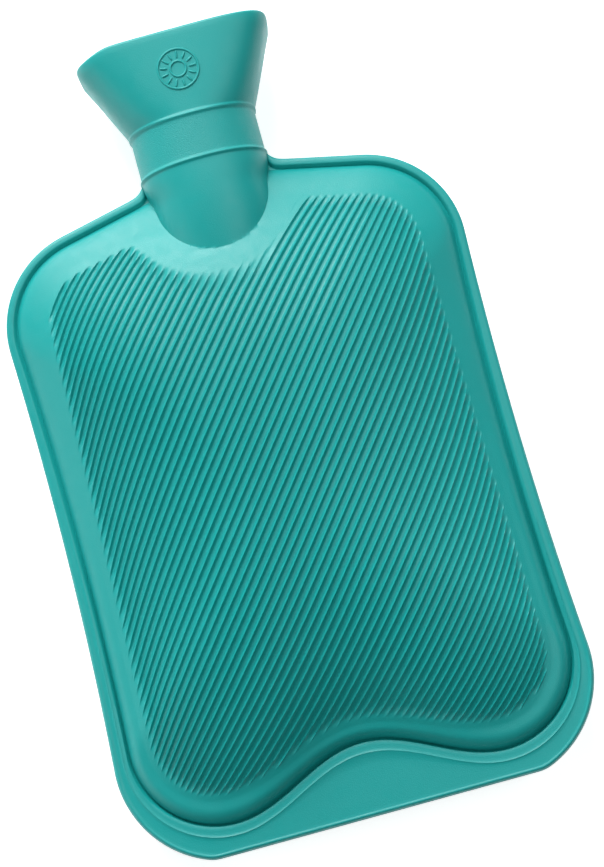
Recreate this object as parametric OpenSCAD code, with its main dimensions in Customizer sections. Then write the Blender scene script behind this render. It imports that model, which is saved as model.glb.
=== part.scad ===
// Moulded rubber hot water bottle with a ribbed front, a wide filling funnel
// and a screw stopper that seals on a rubber washer.
// The bottle lies on its back: +X across, +Y towards the funnel, +Z out of the ribbed face.
// The origin is on the ground, under the middle of the bottle's length and width.

/* [Body] */
// Length from the straight bottom edge to the funnel's lip
bottle_len = 334; // [320:1:350]
// Width across the two bottom corners
bottle_w = 200; // [190:1:210]
// Height of the front bulge above the seam plane
crown_front = 31; // [26:0.5:34]
// Depth of the back bulge below the seam plane, down to its flat rest
crown_back = 26; // [24:0.5:30]
// Thickness of the rubber at the bulges
wall = 3; // [2.6:0.1:4]
// How far each side draws in between the corners
waist_in = 2.5; // [0:0.1:5]
// How much narrower each side is at the shoulder than at the bottom
shoulder_in = 1.5; // [0:0.1:4]
// Radius of the shoulders
shoulder_r = 42; // [34:1:48]
// Fall of the shoulders towards the sides, in degrees
shoulder_slope = 12.6; // [10:0.2:16]
// Distance from the lower neck bead down to the shoulder arcs' centres
shoulder_drop = 53; // [50:1:58]
// Radius of the two bottom corners
corner_r = 44; // [40:1:50]
// Height of the bottom corners' centres above the bottom edge
corner_rise = 42; // [38:1:44]

/* [Rim] */
// Thickness of the rim bead all round the seam
rim_t = 5.8; // [4.5:0.1:7]
// Thickness of the rim at its outermost edge
edge_t = 2; // [1:0.1:3]
// Distance from the edge to the groove at the shoulders
groove_in_top = 4.4; // [4:0.1:6]
// Distance from the edge to the groove beside the bottom corners
groove_in_bottom = 7.5; // [6.5:0.1:9]
// Height of the groove's bottom above the seam plane
groove_z = 1; // [0.6:0.1:1.6]
// Distance from the edge to the bead's inner line at the shoulders
bead_in_top = 3; // [2.6:0.1:3.4]
// Distance from the edge to the bead's inner line beside the bottom corners
bead_in_bottom = 4.7; // [4.2:0.1:5.5]
// Half the distance between the two low points of the bottom wave
wave_x = 57; // [53:1:60]
// Height of the groove's low points above the bottom edge
wave_low = 12.5; // [12:0.5:14]
// Rise of the groove from its low points to its crest
wave_rise = 18; // [14:0.5:22]
// Gap between the groove and the flat tab's top line
tab_gap = 5; // [4.5:0.1:5.4]

/* [Ribs] */
// Distance from one rib to the next
rib_pitch = 3.34; // [3.2:0.02:4]
// Depth of the valleys between the ribs
rib_depth = 1; // [0.6:0.1:1.2]
// Angle of the ribs to the bottle's length, in degrees
rib_angle = 38.5; // [36:0.5:41]
// Margin between the edge and the ribs at the sides and shoulders
field_in = 18.6; // [17:0.1:20]
// Margin between the groove and the ribs at the bottom wave
field_gap = 10; // [9:0.5:12]
// How much the ribs draw together at the sides of the ribbed field
rib_squeeze = 4.4; // [2:0.1:5]

/* [Neck] */
// Width of the neck at its band
neck_w = 54; // [51:0.5:57]
// Depth of the neck at its band
neck_d = 44; // [43:0.5:48]
// Distance between the two neck beads
band_len = 19; // [18:0.5:24]
// Height of a neck bead above the neck
bead_h = 0.7; // [0.4:0.1:1]
// Width of a neck bead
bead_w = 1.8; // [1.4:0.1:2.4]
// Length of the neck's domed root, from the lower bead into the bulge
root_len = 39; // [36:1:42]
// Radius of the fillet between neck and shoulder
neck_fillet = 8; // [6:0.5:10]

/* [Funnel] */
// Length of the funnel from the upper neck bead to the lip
funnel_len = 37; // [34:0.5:42]
// Width of the funnel at its lip
funnel_w = 87; // [82:0.5:90]
// Depth of the funnel at its lip
funnel_d = 46; // [45:0.5:50]
// Thickness of the funnel's wall at its lip
lip_t = 2.6; // [2:0.1:3]
// Diameter of the raised ring emblem on the funnel
emblem_d = 18; // [14:0.5:20]
// Height of the emblem above the funnel
emblem_h = 0.5; // [0.3:0.1:0.8]

/* [Socket] */
// Outer diameter of the threaded socket moulded into the neck
socket_d = 32; // [31:0.5:33]
// Length of the socket
socket_len = 23; // [22:0.5:25]
// How far the socket's seat stands above the upper neck bead
seat_rise = 5; // [4:0.5:7]
// How far the two keying ribs stand out into the rubber
key_h = 1.2; // [0.8:0.1:1.5]
// Width of a keying rib
key_w = 2; // [1.5:0.1:2.5]

/* [Stopper] */
// Outer diameter of the stopper's threaded shank
shank_d = 23; // [21:0.5:24]
// Radial running gap between shank and socket
thread_gap = 0.3; // [0.2:0.05:0.4]
// Length of the shank below the flange
shank_len = 19; // [16:0.5:21]
// Diameter of the hollow inside the shank
shank_bore = 16; // [13:0.5:17]
// Diameter of the flange that presses on the washer
flange_d = 29; // [27.5:0.5:30]
// Thickness of the flange
flange_t = 3; // [2.5:0.1:3.5]
// Width of the grip
grip_w = 26; // [22:0.5:28]
// Height of the grip above the flange
grip_h = 20; // [16:0.5:22]
// Thickness of the grip
grip_t = 5; // [4:0.1:7]
// Diameter of the boss that carries the grip
hub_d = 15; // [12:0.5:18]
// Thickness of the sealing washer
washer_t = 2.5; // [2:0.1:3]
// Outer diameter of the sealing washer
washer_d = 28; // [27:0.5:29]

/* [Hidden] */
rubber = "#3cb2ac";
plastic = "#e4e6e2";
seal = "#2b2d2e";
eps = 0.02;

// Levels along the bottle, all from the length, and the seam plane's height
y_bottom = -bottle_len / 2;
y_lip = bottle_len / 2;
y_funnel = y_lip - funnel_len;
y_neck = y_funnel - band_len;
y_seat = y_funnel + seat_rise;
y_socket = y_seat - socket_len;
y_shoulder = y_neck - shoulder_drop;
y_corner = y_bottom + corner_rise;
seam_z = crown_back;

// Outline of the body, seen from the front
half_w = bottle_w / 2;
shoulder_x = half_w - shoulder_in - shoulder_r;
corner_x = half_w - corner_r;
shoulder_tan = tan(shoulder_slope);
y_apex = y_shoulder + shoulder_r / cos(shoulder_slope) + shoulder_x * shoulder_tan;
corner_start = -asin((y_corner - y_bottom) / corner_r);

// The middle of the bulges, which all rings of the body go around
bulge_y = (y_bottom + y_neck) / 2 + 1;
side_power = 2.6;
end_power = 3;
back_flat = 0.45;
back_power = 2;

// Where the smooth margin between ribs and groove has a ring of its own, as a share of the groove's reach
margin_share = 0.965;

// The rubber inside the groove that stays solid around the water space
web_in = 3;
cavity_steps = 48;

// Ribs: stations along each rib, and the length over which a valley runs out
rib_taper = 5;
rib_stations = [0.05, 0.13, 0.23, 0.35, 0.5, 0.65, 0.77, 0.87, 0.95];
squeeze_x = half_w - field_in;
squeeze_power = 4.5;
notch_y = y_neck - 8;
notch_r = 42;

neck_power = 2.2;
root_power = 2.1;
funnel_power = 4;
oval_steps = 36;
pocket_steps = 36;
emblem_steps = 28;

function mix(a, b, t) = a + (b - a) * t;
function arc_points(cx, cy, r, from, to, n) =
    [for (i = [0:n]) let (a = mix(from, to, i / n)) [cx + r * cos(a), cy + r * sin(a)]];

// The right-hand side of the body, drawn in by inset_b at the bottom and inset_t at the shoulder
function side_points(y0, y1, inset_b, inset_t) =
    [for (i = [1:7]) let (t = i / 8)
        [half_w - shoulder_in * t - waist_in * 4 * t * (1 - t) - mix(inset_b, inset_t, t), mix(y0, y1, t)]];

// Shoulder arc and straight shoulder slope, up to the middle of the neck
function shoulder_points(inset) =
    concat(arc_points(shoulder_x, y_shoulder, shoulder_r - inset, 0, 90 - shoulder_slope, 8),
        [[0, y_apex - inset / cos(shoulder_slope)]]);

// Right half of the outer edge, from the middle of the bottom to the middle of the top
function edge_half(inset = 0) = concat(
    [[0, y_bottom + inset]],
    arc_points(corner_x, y_corner, corner_r - inset,
        -asin((y_corner - y_bottom - inset) / (corner_r - inset)), 0, 10),
    side_points(y_corner, y_shoulder, inset, inset),
    shoulder_points(inset));

// Right half of a line that dips twice at the bottom, as the groove does
function wave_half(low, rise, inset_b, inset_t) =
    let (r = half_w - inset_b - wave_x)
    concat(
        [for (i = [0:8]) let (t = i / 8) [wave_x * t, low + rise * (1 + cos(180 * t)) / 2]],
        arc_points(wave_x, low + r, r, -80, 0, 8),
        side_points(low + r, y_shoulder, inset_b, inset_t),
        shoulder_points(inset_t));

// Distance from the bulge's middle to a half outline, in the direction of angle a
function cross2(p, q) = p[0] * q[1] - p[1] * q[0];
function reach(half, a) =
    let (
        d = [cos(a), sin(a)],
        hits = [for (i = [0:len(half) - 2]) let (
                p = half[i] - [0, bulge_y],
                q = half[i + 1] - [0, bulge_y],
                cp = cross2(d, p),
                cq = cross2(d, q)
            ) if (cp <= eps / 100 && cq > eps / 100) norm(p + (q - p) * (-cp / (cq - cp)))]
    ) len(hits) > 0 ? max(hits) : norm(half[len(half) - 1] - [0, bulge_y]);

function table(half) = [for (a = [-90:3:90]) [a, reach(half, a)]];
function fold(a) = let (b = a > 180 ? a - 360 : a) b > 90 ? 180 - b : (b < -90 ? -180 - b : b);

groove_low = y_bottom + wave_low;
groove_line = wave_half(groove_low, wave_rise, groove_in_bottom, groove_in_top);
tab_line = wave_half(groove_low - tab_gap, wave_rise, bead_in_bottom, bead_in_top);
groove_table = table(groove_line);

// Ring angles of the right half, closer together at the corners, with the nearest one moved
// onto the end of the straight bottom edge, and then the left half's in the same turning sense
corner_angle = atan2(y_bottom - bulge_y, corner_x + corner_r * cos(corner_start));
even_list = [for (r = [[-90:5:-65], [-61:2.6:-27], [-20:8:20], [26:2.6:50], [55:5:90]], a = r) a];
nearest = min([for (a = even_list) abs(a - corner_angle)]);
right_angles = [for (a = even_list) abs(a - corner_angle) == nearest ? corner_angle : a];
ring_angles = concat(right_angles,
    [for (i = [len(right_angles) - 2:-1:1]) 180 - right_angles[i]]);
ring_steps = len(ring_angles);
angle_index = concat([for (i = [0:ring_steps - 1]) [ring_angles[i], i]], [[270, ring_steps]]);

function polar(a, r, z) = [r * cos(a), bulge_y + r * sin(a), z];
function ring(half, z) = [for (a = ring_angles) polar(a, reach(half, fold(a)), seam_z + z)];

// Height of the front bulge over the seam plane at a share u of the way to the groove
function bulge_power(a) = mix(side_power, end_power, pow(sin(a), 2));
function front_height(u, a) =
    groove_z + (crown_front - groove_z) * (1 - pow(min(u, 1), bulge_power(a)));
function back_depth(u) =
    crown_back - (crown_back - groove_z) * pow(max(0, (u - back_flat) / (1 - back_flat)), back_power);
function front_z(x, y) =
    let (
        a = atan2(y - bulge_y, abs(x)),
        u = norm([x, y - bulge_y]) / lookup(a, groove_table)
    ) seam_z + front_height(u, a);
function front_ring(u) = [for (a = ring_angles)
    polar(a, u * lookup(fold(a), groove_table), seam_z + front_height(u, a))];
function back_ring(u) = [for (a = ring_angles)
    polar(a, u * lookup(fold(a), groove_table), seam_z - back_depth(u))];

// The ribbed field's outline: the side margins, the wave and the notch around the neck's root
function field_half() =
    let (
        corner = half_w - field_in - wave_x,
        low = groove_low + field_gap,
        top = shoulder_points(field_in),
        tip_x = notch_r,
        tip_y = y_apex - field_in / cos(shoulder_slope) - tip_x * shoulder_tan
    ) concat(
        [for (i = [0:8]) let (t = i / 8) [wave_x * t, low + (wave_rise - 2) * (1 + cos(180 * t)) / 2]],
        arc_points(wave_x, low + corner, corner, -75, 0, 6),
        [for (i = [0:7]) top[i]],
        [[tip_x, tip_y]],
        arc_points(0, notch_y, notch_r, -44, -90, 8));

// Ribs are straight and evenly spaced on a flat sheet, which draws in towards the sides
function sheet_x(x, n = 8) = n == 0 ? x : x + rib_squeeze * pull(sheet_x(x, n - 1));
function pull(x) = sign(x) * pow(abs(x) / squeeze_x, squeeze_power);
function to_sheet(p) =
    let (x = sheet_x(p[0]), y = p[1] - bulge_y)
    [x * cos(rib_angle) - y * sin(rib_angle), x * sin(rib_angle) + y * cos(rib_angle)];
function from_sheet(u, v) =
    let (x = u * cos(rib_angle) + v * sin(rib_angle))
    [x - rib_squeeze * pull(x), bulge_y - u * sin(rib_angle) + v * cos(rib_angle)];

field_right = field_half();
field_loop = concat(field_right,
    [for (i = [len(field_right) - 2:-1:1]) [-field_right[i][0], field_right[i][1]]]);
sheet_loop = [for (p = field_loop) to_sheet(p)];
sheet_n = len(sheet_loop);
first_line = ceil((min([for (p = sheet_loop) p[0]]) + rib_pitch) / (rib_pitch / 2));
last_line = floor((max([for (p = sheet_loop) p[0]]) - rib_pitch) / (rib_pitch / 2));
line_count = last_line - first_line + 1;

// Where a rib line enters and leaves the field
function line_hits(u) = [for (i = [0:sheet_n - 1])
    let (p = sheet_loop[i], q = sheet_loop[(i + 1) % sheet_n])
    if ((p[0] < u) != (q[0] < u)) p[1] + (q[1] - p[1]) * (u - p[0]) / (q[0] - p[0])];

// One crest or valley: a valley starts and ends level with the smooth margin
function line_points(k) =
    let (
        u = k * rib_pitch / 2,
        hits = line_hits(u),
        v0 = min(hits),
        v1 = max(hits),
        taper = min(rib_taper, (v1 - v0) / 4),
        depth = k % 2 == 0 ? 0 : rib_depth,
        inner = [for (s = rib_stations) mix(v0 + taper, v1 - taper, s)],
        stops = concat([v0, v0 + taper], inner, [v1 - taper, v1]),
        last = len(stops) - 1
    ) [for (j = [0:last]) let (
            p = from_sheet(u, stops[j]),
            sunk = j == 0 || j == last ? 0 : depth
        ) [p[0], p[1], front_z(p[0], p[1]) - sunk]];

rib_row = len(rib_stations) + 4;
rib_points = [for (k = [first_line:last_line]) each line_points(k)];
rib_faces = [for (i = [0:line_count - 2], j = [0:rib_row - 2])
    let (a = i * rib_row + j)
    each [[a, a + 1, a + rib_row + 1], [a, a + rib_row + 1, a + rib_row]]];
rib_loop = concat(
    [for (i = [0:line_count - 1]) i * rib_row],
    [for (j = [1:rib_row - 1]) (line_count - 1) * rib_row + j],
    [for (i = [line_count - 2:-1:0]) i * rib_row + rib_row - 1],
    [for (j = [rib_row - 2:-1:1]) j]);

// Triangles from a fine inner loop to the ring that starts at index first
function around(p) = let (a = atan2(p[1] - bulge_y, p[0])) a < -90 ? a + 360 : a;
function zip(points, loop, first) =
    let (
        m = len(loop),
        n = ring_steps,
        near = [for (i = [0:m - 1])
            round(lookup(around((points[loop[i]] + points[loop[(i + 1) % m]]) / 2), angle_index)) % n]
    ) concat(
        [for (i = [0:m - 1]) [loop[i], loop[(i + 1) % m], first + near[i]]],
        [for (i = [0:m - 1])
            let (before = near[(i + m - 1) % m], steps = (near[i] - before + n) % n)
            if (steps > 0 && steps < n / 2)
                for (s = [0:steps - 1])
                    [loop[i], first + (before + s + 1) % n, first + (before + s) % n]]);

// Bands between rings of n points that follow each other from index first
function bands(first, count, n) = [for (k = [0:count - 2], i = [0:n - 1])
    let (a = first + k * n + i, b = first + k * n + (i + 1) % n)
    each [[a, b, b + n], [a, b + n, a + n]]];

module body() {
    top = rim_t / 2;
    rings = [
        front_ring(margin_share),
        ring(groove_line, groove_z),
        ring(tab_line, top - 0.6),
        ring(edge_half(min(1.6, bead_in_top - 1)), top),
        ring(edge_half(0.4), mix(edge_t / 2, top, 0.7)),
        ring(edge_half(), edge_t / 2),
        ring(edge_half(), -edge_t / 2),
        ring(edge_half(min(1.6, bead_in_top - 1)), -top),
        ring(groove_line, -groove_z),
        back_ring(0.87),
        back_ring(0.73),
        back_ring(0.59),
        back_ring(back_flat)
    ];
    first = len(rib_points);
    last = first + (len(rings) - 1) * ring_steps;
    points = concat(rib_points, [for (r = rings) each r]);
    polyhedron(points, concat(
        rib_faces,
        zip(points, rib_loop, first),
        bands(first, len(rings), ring_steps),
        [[for (i = [0:ring_steps - 1]) last + i]]), convexity = 10);
}

// The water space: both bulges drawn in by the wall
module water_space() {
    turn = 360 / cavity_steps;
    function inner_reach(i) = lookup(fold(i * turn), groove_table) - web_in;
    function front_in(u) = [for (i = [0:cavity_steps - 1])
        polar(i * turn, u * inner_reach(i),
            seam_z + (crown_front - wall) * (1 - pow(u, bulge_power(i * turn))))];
    function back_in(u) = [for (i = [0:cavity_steps - 1])
        polar(i * turn, u * inner_reach(i),
            wall + (crown_back - wall) * pow(max(0, (u - back_flat) / (1 - back_flat)), back_power))];
    rings = [front_in(0.2), front_in(0.4), front_in(0.6), front_in(0.75), front_in(0.88), front_in(1),
        back_in(0.88), back_in(0.74), back_in(0.6), back_in(back_flat)];
    n = cavity_steps;
    first = 1;
    points = concat([[0, bulge_y, seam_z + crown_front - wall]], [for (r = rings) each r]);
    polyhedron(points, concat(
        [for (i = [0:n - 1]) [0, first + (i + 1) % n, first + i]],
        bands(first, len(rings), n),
        [[for (i = [0:n - 1]) first + (len(rings) - 1) * n + i]]), convexity = 4);
}

// A thin oval plate across the neck, of half width a and half depth b, squarer with a higher power
module oval(y, a, b, power) {
    translate([0, y, seam_z])
        rotate([90, 0, 0])
            linear_extrude(eps, center = true)
                polygon([for (i = [0:oval_steps - 1]) let (
                        t = 360 * i / oval_steps,
                        c = cos(t),
                        s = sin(t),
                        k = pow(pow(abs(c), power) + pow(abs(s), power), -1 / power)
                    ) [a * c * k, b * s * k]]);
}

// A skin over ovals that follow each other, each [y, half width, half depth, power]
module skin(ovals) {
    for (i = [0:len(ovals) - 2])
        hull() {
            oval(ovals[i][0], ovals[i][1], ovals[i][2], ovals[i][3]);
            oval(ovals[i + 1][0], ovals[i + 1][1], ovals[i + 1][2], ovals[i + 1][3]);
        }
}

// Half width, half depth and squareness of the funnel at a share t of its length
function funnel_a(t) = mix(neck_w / 2, funnel_w / 2, t);
function funnel_b(t) = mix(neck_d / 2, funnel_d / 2, t);
function funnel_pow(t) = mix(neck_power, funnel_power, pow(t, 0.7));
function funnel_oval(t, out = 0) =
    [y_funnel + t * funnel_len, funnel_a(t) + out, funnel_b(t) + out, funnel_pow(t)];
function bead_ovals(y) =
    let (a = neck_w / 2, b = neck_d / 2)
    [[y - bead_w / 2, a, b, neck_power], [y - bead_w / 5, a + bead_h, b + bead_h, neck_power],
        [y + bead_w / 5, a + bead_h, b + bead_h, neck_power], [y + bead_w / 2, a, b, neck_power]];

module neck_outside() {
    a = neck_w / 2;
    b = neck_d / 2;
    skin(concat(
        [[y_neck - root_len - 14, a - 5, b - 6, root_power],
            [y_neck - root_len, a - 2.4, b - 2.9, root_power],
            [y_neck - root_len * 0.6, a - 1.6, b - 1.4, root_power],
            [y_neck - root_len * 0.3, a - 1.1, b - 0.5, neck_power],
            [y_neck - root_len * 0.13, a - 0.4, b, neck_power]],
        bead_ovals(y_neck),
        bead_ovals(y_funnel),
        [for (t = [0.15, 0.3, 0.5, 0.75, 0.93]) funnel_oval(t),
            funnel_oval(0.98, -0.4), funnel_oval(1, -1.2)]));
}

// The bore from the water space up to the socket, and the funnel's inside
module neck_inside() {
    a = socket_d / 2 - 1;
    t_seat = seat_rise / funnel_len;
    skin([[y_neck - root_len - 16, a - 1, neck_d / 2 - 10, 2],
        [y_neck - 12, a, a - 1.5, 2],
        [y_socket + 0.5, a, a, 2]]);
    skin(concat(
        [[y_seat - 1, a, a, 2], [y_seat + 1.5, a + 1.6, a + 1, 2]],
        [for (t = [0.35, 0.55, 0.8, 0.93, 1.02])
            [y_funnel + t * funnel_len,
                funnel_a(t) - mix(7.5, lip_t, pow((t - t_seat) / (1 - t_seat), 0.6)),
                funnel_b(t) - mix(3.6, lip_t, t),
                mix(2, funnel_power, t)]]));
}

// Web that rounds the corner between neck and shoulder, both sides
module neck_web() {
    cx = neck_w / 2 + neck_fillet;
    cy = y_apex + (neck_fillet - cx * sin(shoulder_slope)) / cos(shoulder_slope);
    curve = arc_points(cx, cy, neck_fillet, -90 - shoulder_slope, -180, 6);
    translate([0, 0, seam_z])
        linear_extrude(rim_t - 0.4, center = true)
            polygon(concat([[0, y_shoulder + shoulder_r - 8]], curve, [[0, cy]],
                [for (i = [len(curve) - 1:-1:0]) [-curve[i][0], curve[i][1]]]));
}

// Raised ring with short spokes around a smaller ring, on the funnel's front
module emblem() {
    y = y_funnel + funnel_len * 0.51;
    band = 0.8;
    translate([0, y, seam_z + funnel_b(0.51) - 1])
        linear_extrude(1 + emblem_h) {
            difference() {
                circle(d = emblem_d, $fn = emblem_steps);
                circle(d = emblem_d - 2 * band, $fn = emblem_steps);
            }
            difference() {
                circle(d = emblem_d * 0.36, $fn = emblem_steps / 2);
                circle(d = emblem_d * 0.36 - 2 * band, $fn = emblem_steps / 2);
            }
            for (i = [0:11])
                rotate(i * 30)
                    translate([emblem_d * 0.25, -band / 2])
                        square([emblem_d * 0.15, band]);
        }
}

// Room in the rubber for the socket and its keying ribs, touching it all round
module socket_pocket() {
    grow = 1 / cos(180 / pocket_steps);
    translate([0, y_socket, seam_z])
        rotate([-90, 0, 0])
            rotate_extrude($fn = pocket_steps)
                polygon([for (p = concat([[0, 0]], socket_side(), [[0, socket_len]])) [p[0] * grow, p[1]]]);
}

// The socket's outer side, from its lower to its upper end
function socket_side() =
    let (
        r = socket_d / 2,
        low = socket_len * 0.2,
        high = socket_len * 0.65
    ) [[r, 0], [r, low], [r + key_h, low], [r + key_h, low + key_w], [r, low + key_w], [r, high],
        [r + key_h, high], [r + key_h, high + key_w], [r, high + key_w], [r, socket_len]];

// The whole rubber bottle, moulded in one piece
module bottle() {
    color(rubber)
        difference() {
            union() {
                body();
                neck_outside();
                neck_web();
                emblem();
            }
            water_space();
            neck_inside();
            socket_pocket();
        }
}

// Threaded socket, held in the rubber by two keying ribs
module neck_socket() {
    bore = shank_d / 2 + thread_gap;
    color(plastic)
        translate([0, y_socket, seam_z])
            rotate([-90, 0, 0])
                rotate_extrude($fn = 96)
                    polygon(concat([[bore, 0]], socket_side(), [[bore, socket_len]]));
}

module stopper_washer() {
    color(seal)
        translate([0, y_seat, seam_z])
            rotate([-90, 0, 0])
                difference() {
                    cylinder(d = washer_d, h = washer_t, $fn = 96);
                    translate([0, 0, -1])
                        cylinder(d = shank_d + 2 * thread_gap, h = washer_t + 2, $fn = 96);
                }
}

// Hollow threaded shank, flange, boss and wing grip in one piece
module stopper() {
    corner = 4;
    color(plastic)
        translate([0, y_seat + washer_t, seam_z])
            rotate([-90, 0, 0])
                difference() {
                    union() {
                        translate([0, 0, -shank_len])
                            cylinder(d = shank_d, h = shank_len + flange_t / 2, $fn = 96);
                        cylinder(d = flange_d, h = flange_t, $fn = 96);
                        cylinder(d = hub_d, h = flange_t + grip_h * 0.35, $fn = 64);
                        translate([0, 0, flange_t])
                            rotate([90, 0, 0])
                                linear_extrude(grip_t, center = true)
                                    grip_outline(corner);
                    }
                    translate([0, 0, -shank_len - 1])
                        cylinder(d = shank_bore, h = shank_len + 1, $fn = 64);
                }
}

// Side view of the wing grip: a waist at its foot and round upper corners
module grip_outline(corner) {
    w = grip_w / 2;
    polygon(concat(
        [[w * 0.72, -1], [w * 0.72, 2]],
        [[w, grip_h * 0.45]],
        arc_points(w - corner, grip_h - corner, corner, 0, 90, 6),
        arc_points(-w + corner, grip_h - corner, corner, 90, 180, 6),
        [[-w, grip_h * 0.45]],
        [[-w * 0.72, 2], [-w * 0.72, -1]]));
}

bottle();
neck_socket();
stopper();
stopper_washer();
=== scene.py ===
"""Looks of a moulded rubber hot water bottle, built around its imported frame.

The frame is in metres: +X across the bottle, +Y from the bottom tab to the filling funnel and
+Z out of the ribbed front, with the bottle lying on its back on z = 0.  Shapes are worked out in
millimetres as whole numpy grids, and scaled to metres once, when a mesh is made.
"""

import logging
from dataclasses import dataclass
from enum import Enum
from functools import cached_property

import bpy
import numpy as np
import numpy.typing as npt
from mathutils import Matrix, Vector


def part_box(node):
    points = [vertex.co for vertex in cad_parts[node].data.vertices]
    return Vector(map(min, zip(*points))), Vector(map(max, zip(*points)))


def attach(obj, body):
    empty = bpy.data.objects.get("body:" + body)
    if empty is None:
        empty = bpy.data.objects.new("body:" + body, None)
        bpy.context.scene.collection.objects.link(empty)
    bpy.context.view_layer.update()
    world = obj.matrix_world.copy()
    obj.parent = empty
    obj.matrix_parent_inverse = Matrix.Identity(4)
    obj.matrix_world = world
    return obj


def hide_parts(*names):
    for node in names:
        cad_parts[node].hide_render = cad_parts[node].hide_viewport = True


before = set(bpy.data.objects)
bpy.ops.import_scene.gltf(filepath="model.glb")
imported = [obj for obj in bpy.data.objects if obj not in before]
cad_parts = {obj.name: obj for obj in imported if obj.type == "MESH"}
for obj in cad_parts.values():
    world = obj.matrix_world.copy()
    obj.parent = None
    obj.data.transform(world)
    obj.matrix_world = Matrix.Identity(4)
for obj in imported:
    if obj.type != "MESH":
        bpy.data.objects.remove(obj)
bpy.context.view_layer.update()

Array = npt.NDArray[np.float64]
Index = npt.NDArray[np.int64]
Faces = list[Index]
Pair = tuple[float, float]
Triple = tuple[float, float, float]
Socket = bpy.types.NodeSocket
MM = 0.001
TINY = 1e-9
NOISE_SPAN = (0.3, 0.7)
LOW_LEVEL = 0.3
LOW_SLOPE = 0.85
PICTURE_HEIGHT_PX = 867
log = logging.getLogger("bottle")


class Join(Enum):
    """How one closed mesh is combined with another."""

    ADD = "UNION"
    CUT = "DIFFERENCE"


def mix(a: Array | float, b: Array | float, t: Array | float) -> Array | float:
    """The value a share t of the way from a to b."""
    return a + (b - a) * t


def smooth(t: Array | float) -> Array:
    """An ease from 0 to 1 with level ends: 3t^2 - 2t^3, held outside 0..1."""
    t = np.clip(t, 0.0, 1.0)
    return t * t * (3.0 - 2.0 * t)


def arc(cx: float, cy: float, r: float, start: float, end: float, count: int = 60) -> Array:
    """Points of a circle's arc, from one angle to another in degrees."""
    a = np.radians(np.linspace(start, end, count))
    return np.stack([cx + r * np.cos(a), cy + r * np.sin(a)], axis=1)


def evenly(points: Array, step: float = 0.5) -> Array:
    """The same line with points at even steps along its length.

    Args:
        points: one point per row; a point that repeats the one before is passed over.
        step: largest distance between two of the new points.

    Returns:
        The new points.
    """
    length = np.concatenate([[0.0], np.cumsum(np.linalg.norm(np.diff(points, axis=0), axis=1))])
    keep = np.concatenate([[True], np.diff(length) > TINY])
    at = np.linspace(0.0, length[-1], int(length[-1] / step) + 2)
    return np.stack([np.interp(at, length[keep], points[keep, k]) for k in (0, 1)], axis=1)


def softened(points: Array, width: int = 9) -> Array:
    """A half line with its corners eased by a running mean, mirrored at x = 0 so its ends hold.

    Args:
        points: evenly spaced points of the right half.
        width: number of points on either side that the bell-shaped mean takes in.

    Returns:
        As many points as before.
    """
    turn = np.array([-1.0, 1.0])
    long = np.concatenate([points[width:0:-1] * turn, points, points[-2:-width - 2:-1] * turn])
    window = np.hanning(2 * width + 1)
    window /= window.sum()
    return np.stack([np.convolve(long[:, k], window, mode="valid") for k in (0, 1)], axis=1)


def strips(rows: int, cols: int, wrap: bool = True, first: int = 0) -> Index:
    """Quads between the rows of a grid.

    Args:
        rows: number of rows.
        cols: points in each row.
        wrap: whether the last point of a row joins the first.
        first: index of the grid's first point.

    Returns:
        One row of four indices per quad.
    """
    at = first + np.arange(rows * cols).reshape(rows, cols)
    side = np.roll(at, -1, axis=1) if wrap else at[:, 1:]
    near = at if wrap else at[:, :-1]
    return np.stack([near[:-1], side[:-1], side[1:], near[1:]], axis=-1).reshape(-1, 4)


def fan(ring: Index, centre: int) -> Index:
    """Triangles from a closed ring of points to one middle point."""
    return np.stack([ring, np.roll(ring, -1), np.full_like(ring, centre)], axis=1)


def lace(fine: Index, coarse: Index, turn: Array) -> Index:
    """Triangles between two closed rings, the coarse one evenly spread over a full turn.

    Each edge of the fine ring runs to the nearest point of the coarse ring, and where that point
    changes, an edge of the coarse ring runs back to the fine point between.

    Args:
        fine: indices of the fine ring.
        coarse: indices of the coarse ring.
        turn: angle at the middle of each fine edge, counted from the coarse ring's first point.

    Returns:
        One row of three indices per triangle.
    """
    m = len(coarse)
    near = np.maximum.accumulate(np.round(turn * m / (2 * np.pi)).astype(int))
    before = np.roll(near, 1)
    before[0] -= m
    first = np.stack([fine, np.roll(fine, -1), coarse[near % m]], axis=1)
    moved = near != before
    second = np.stack([fine[moved], coarse[near[moved] % m], coarse[before[moved] % m]], axis=1)
    return np.concatenate([first, second])


def signed_volume(points: Array, faces: Faces) -> float:
    """Volume inside a closed mesh, negative where its faces point inwards.

    Each face is a fan of triangles a, b, c, and a . (b x c) / 6 is summed over them.

    Args:
        points: one point per row.
        faces: arrays of corner indices.

    Returns:
        The volume.
    """
    total = 0.0
    for group in faces:
        for k in range(1, group.shape[1] - 1):
            a, b, c = points[group[:, 0]], points[group[:, k]], points[group[:, k + 1]]
            total += float(np.einsum("ij,ij->i", a, np.cross(b, c)).sum()) / 6.0
    return total


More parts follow.
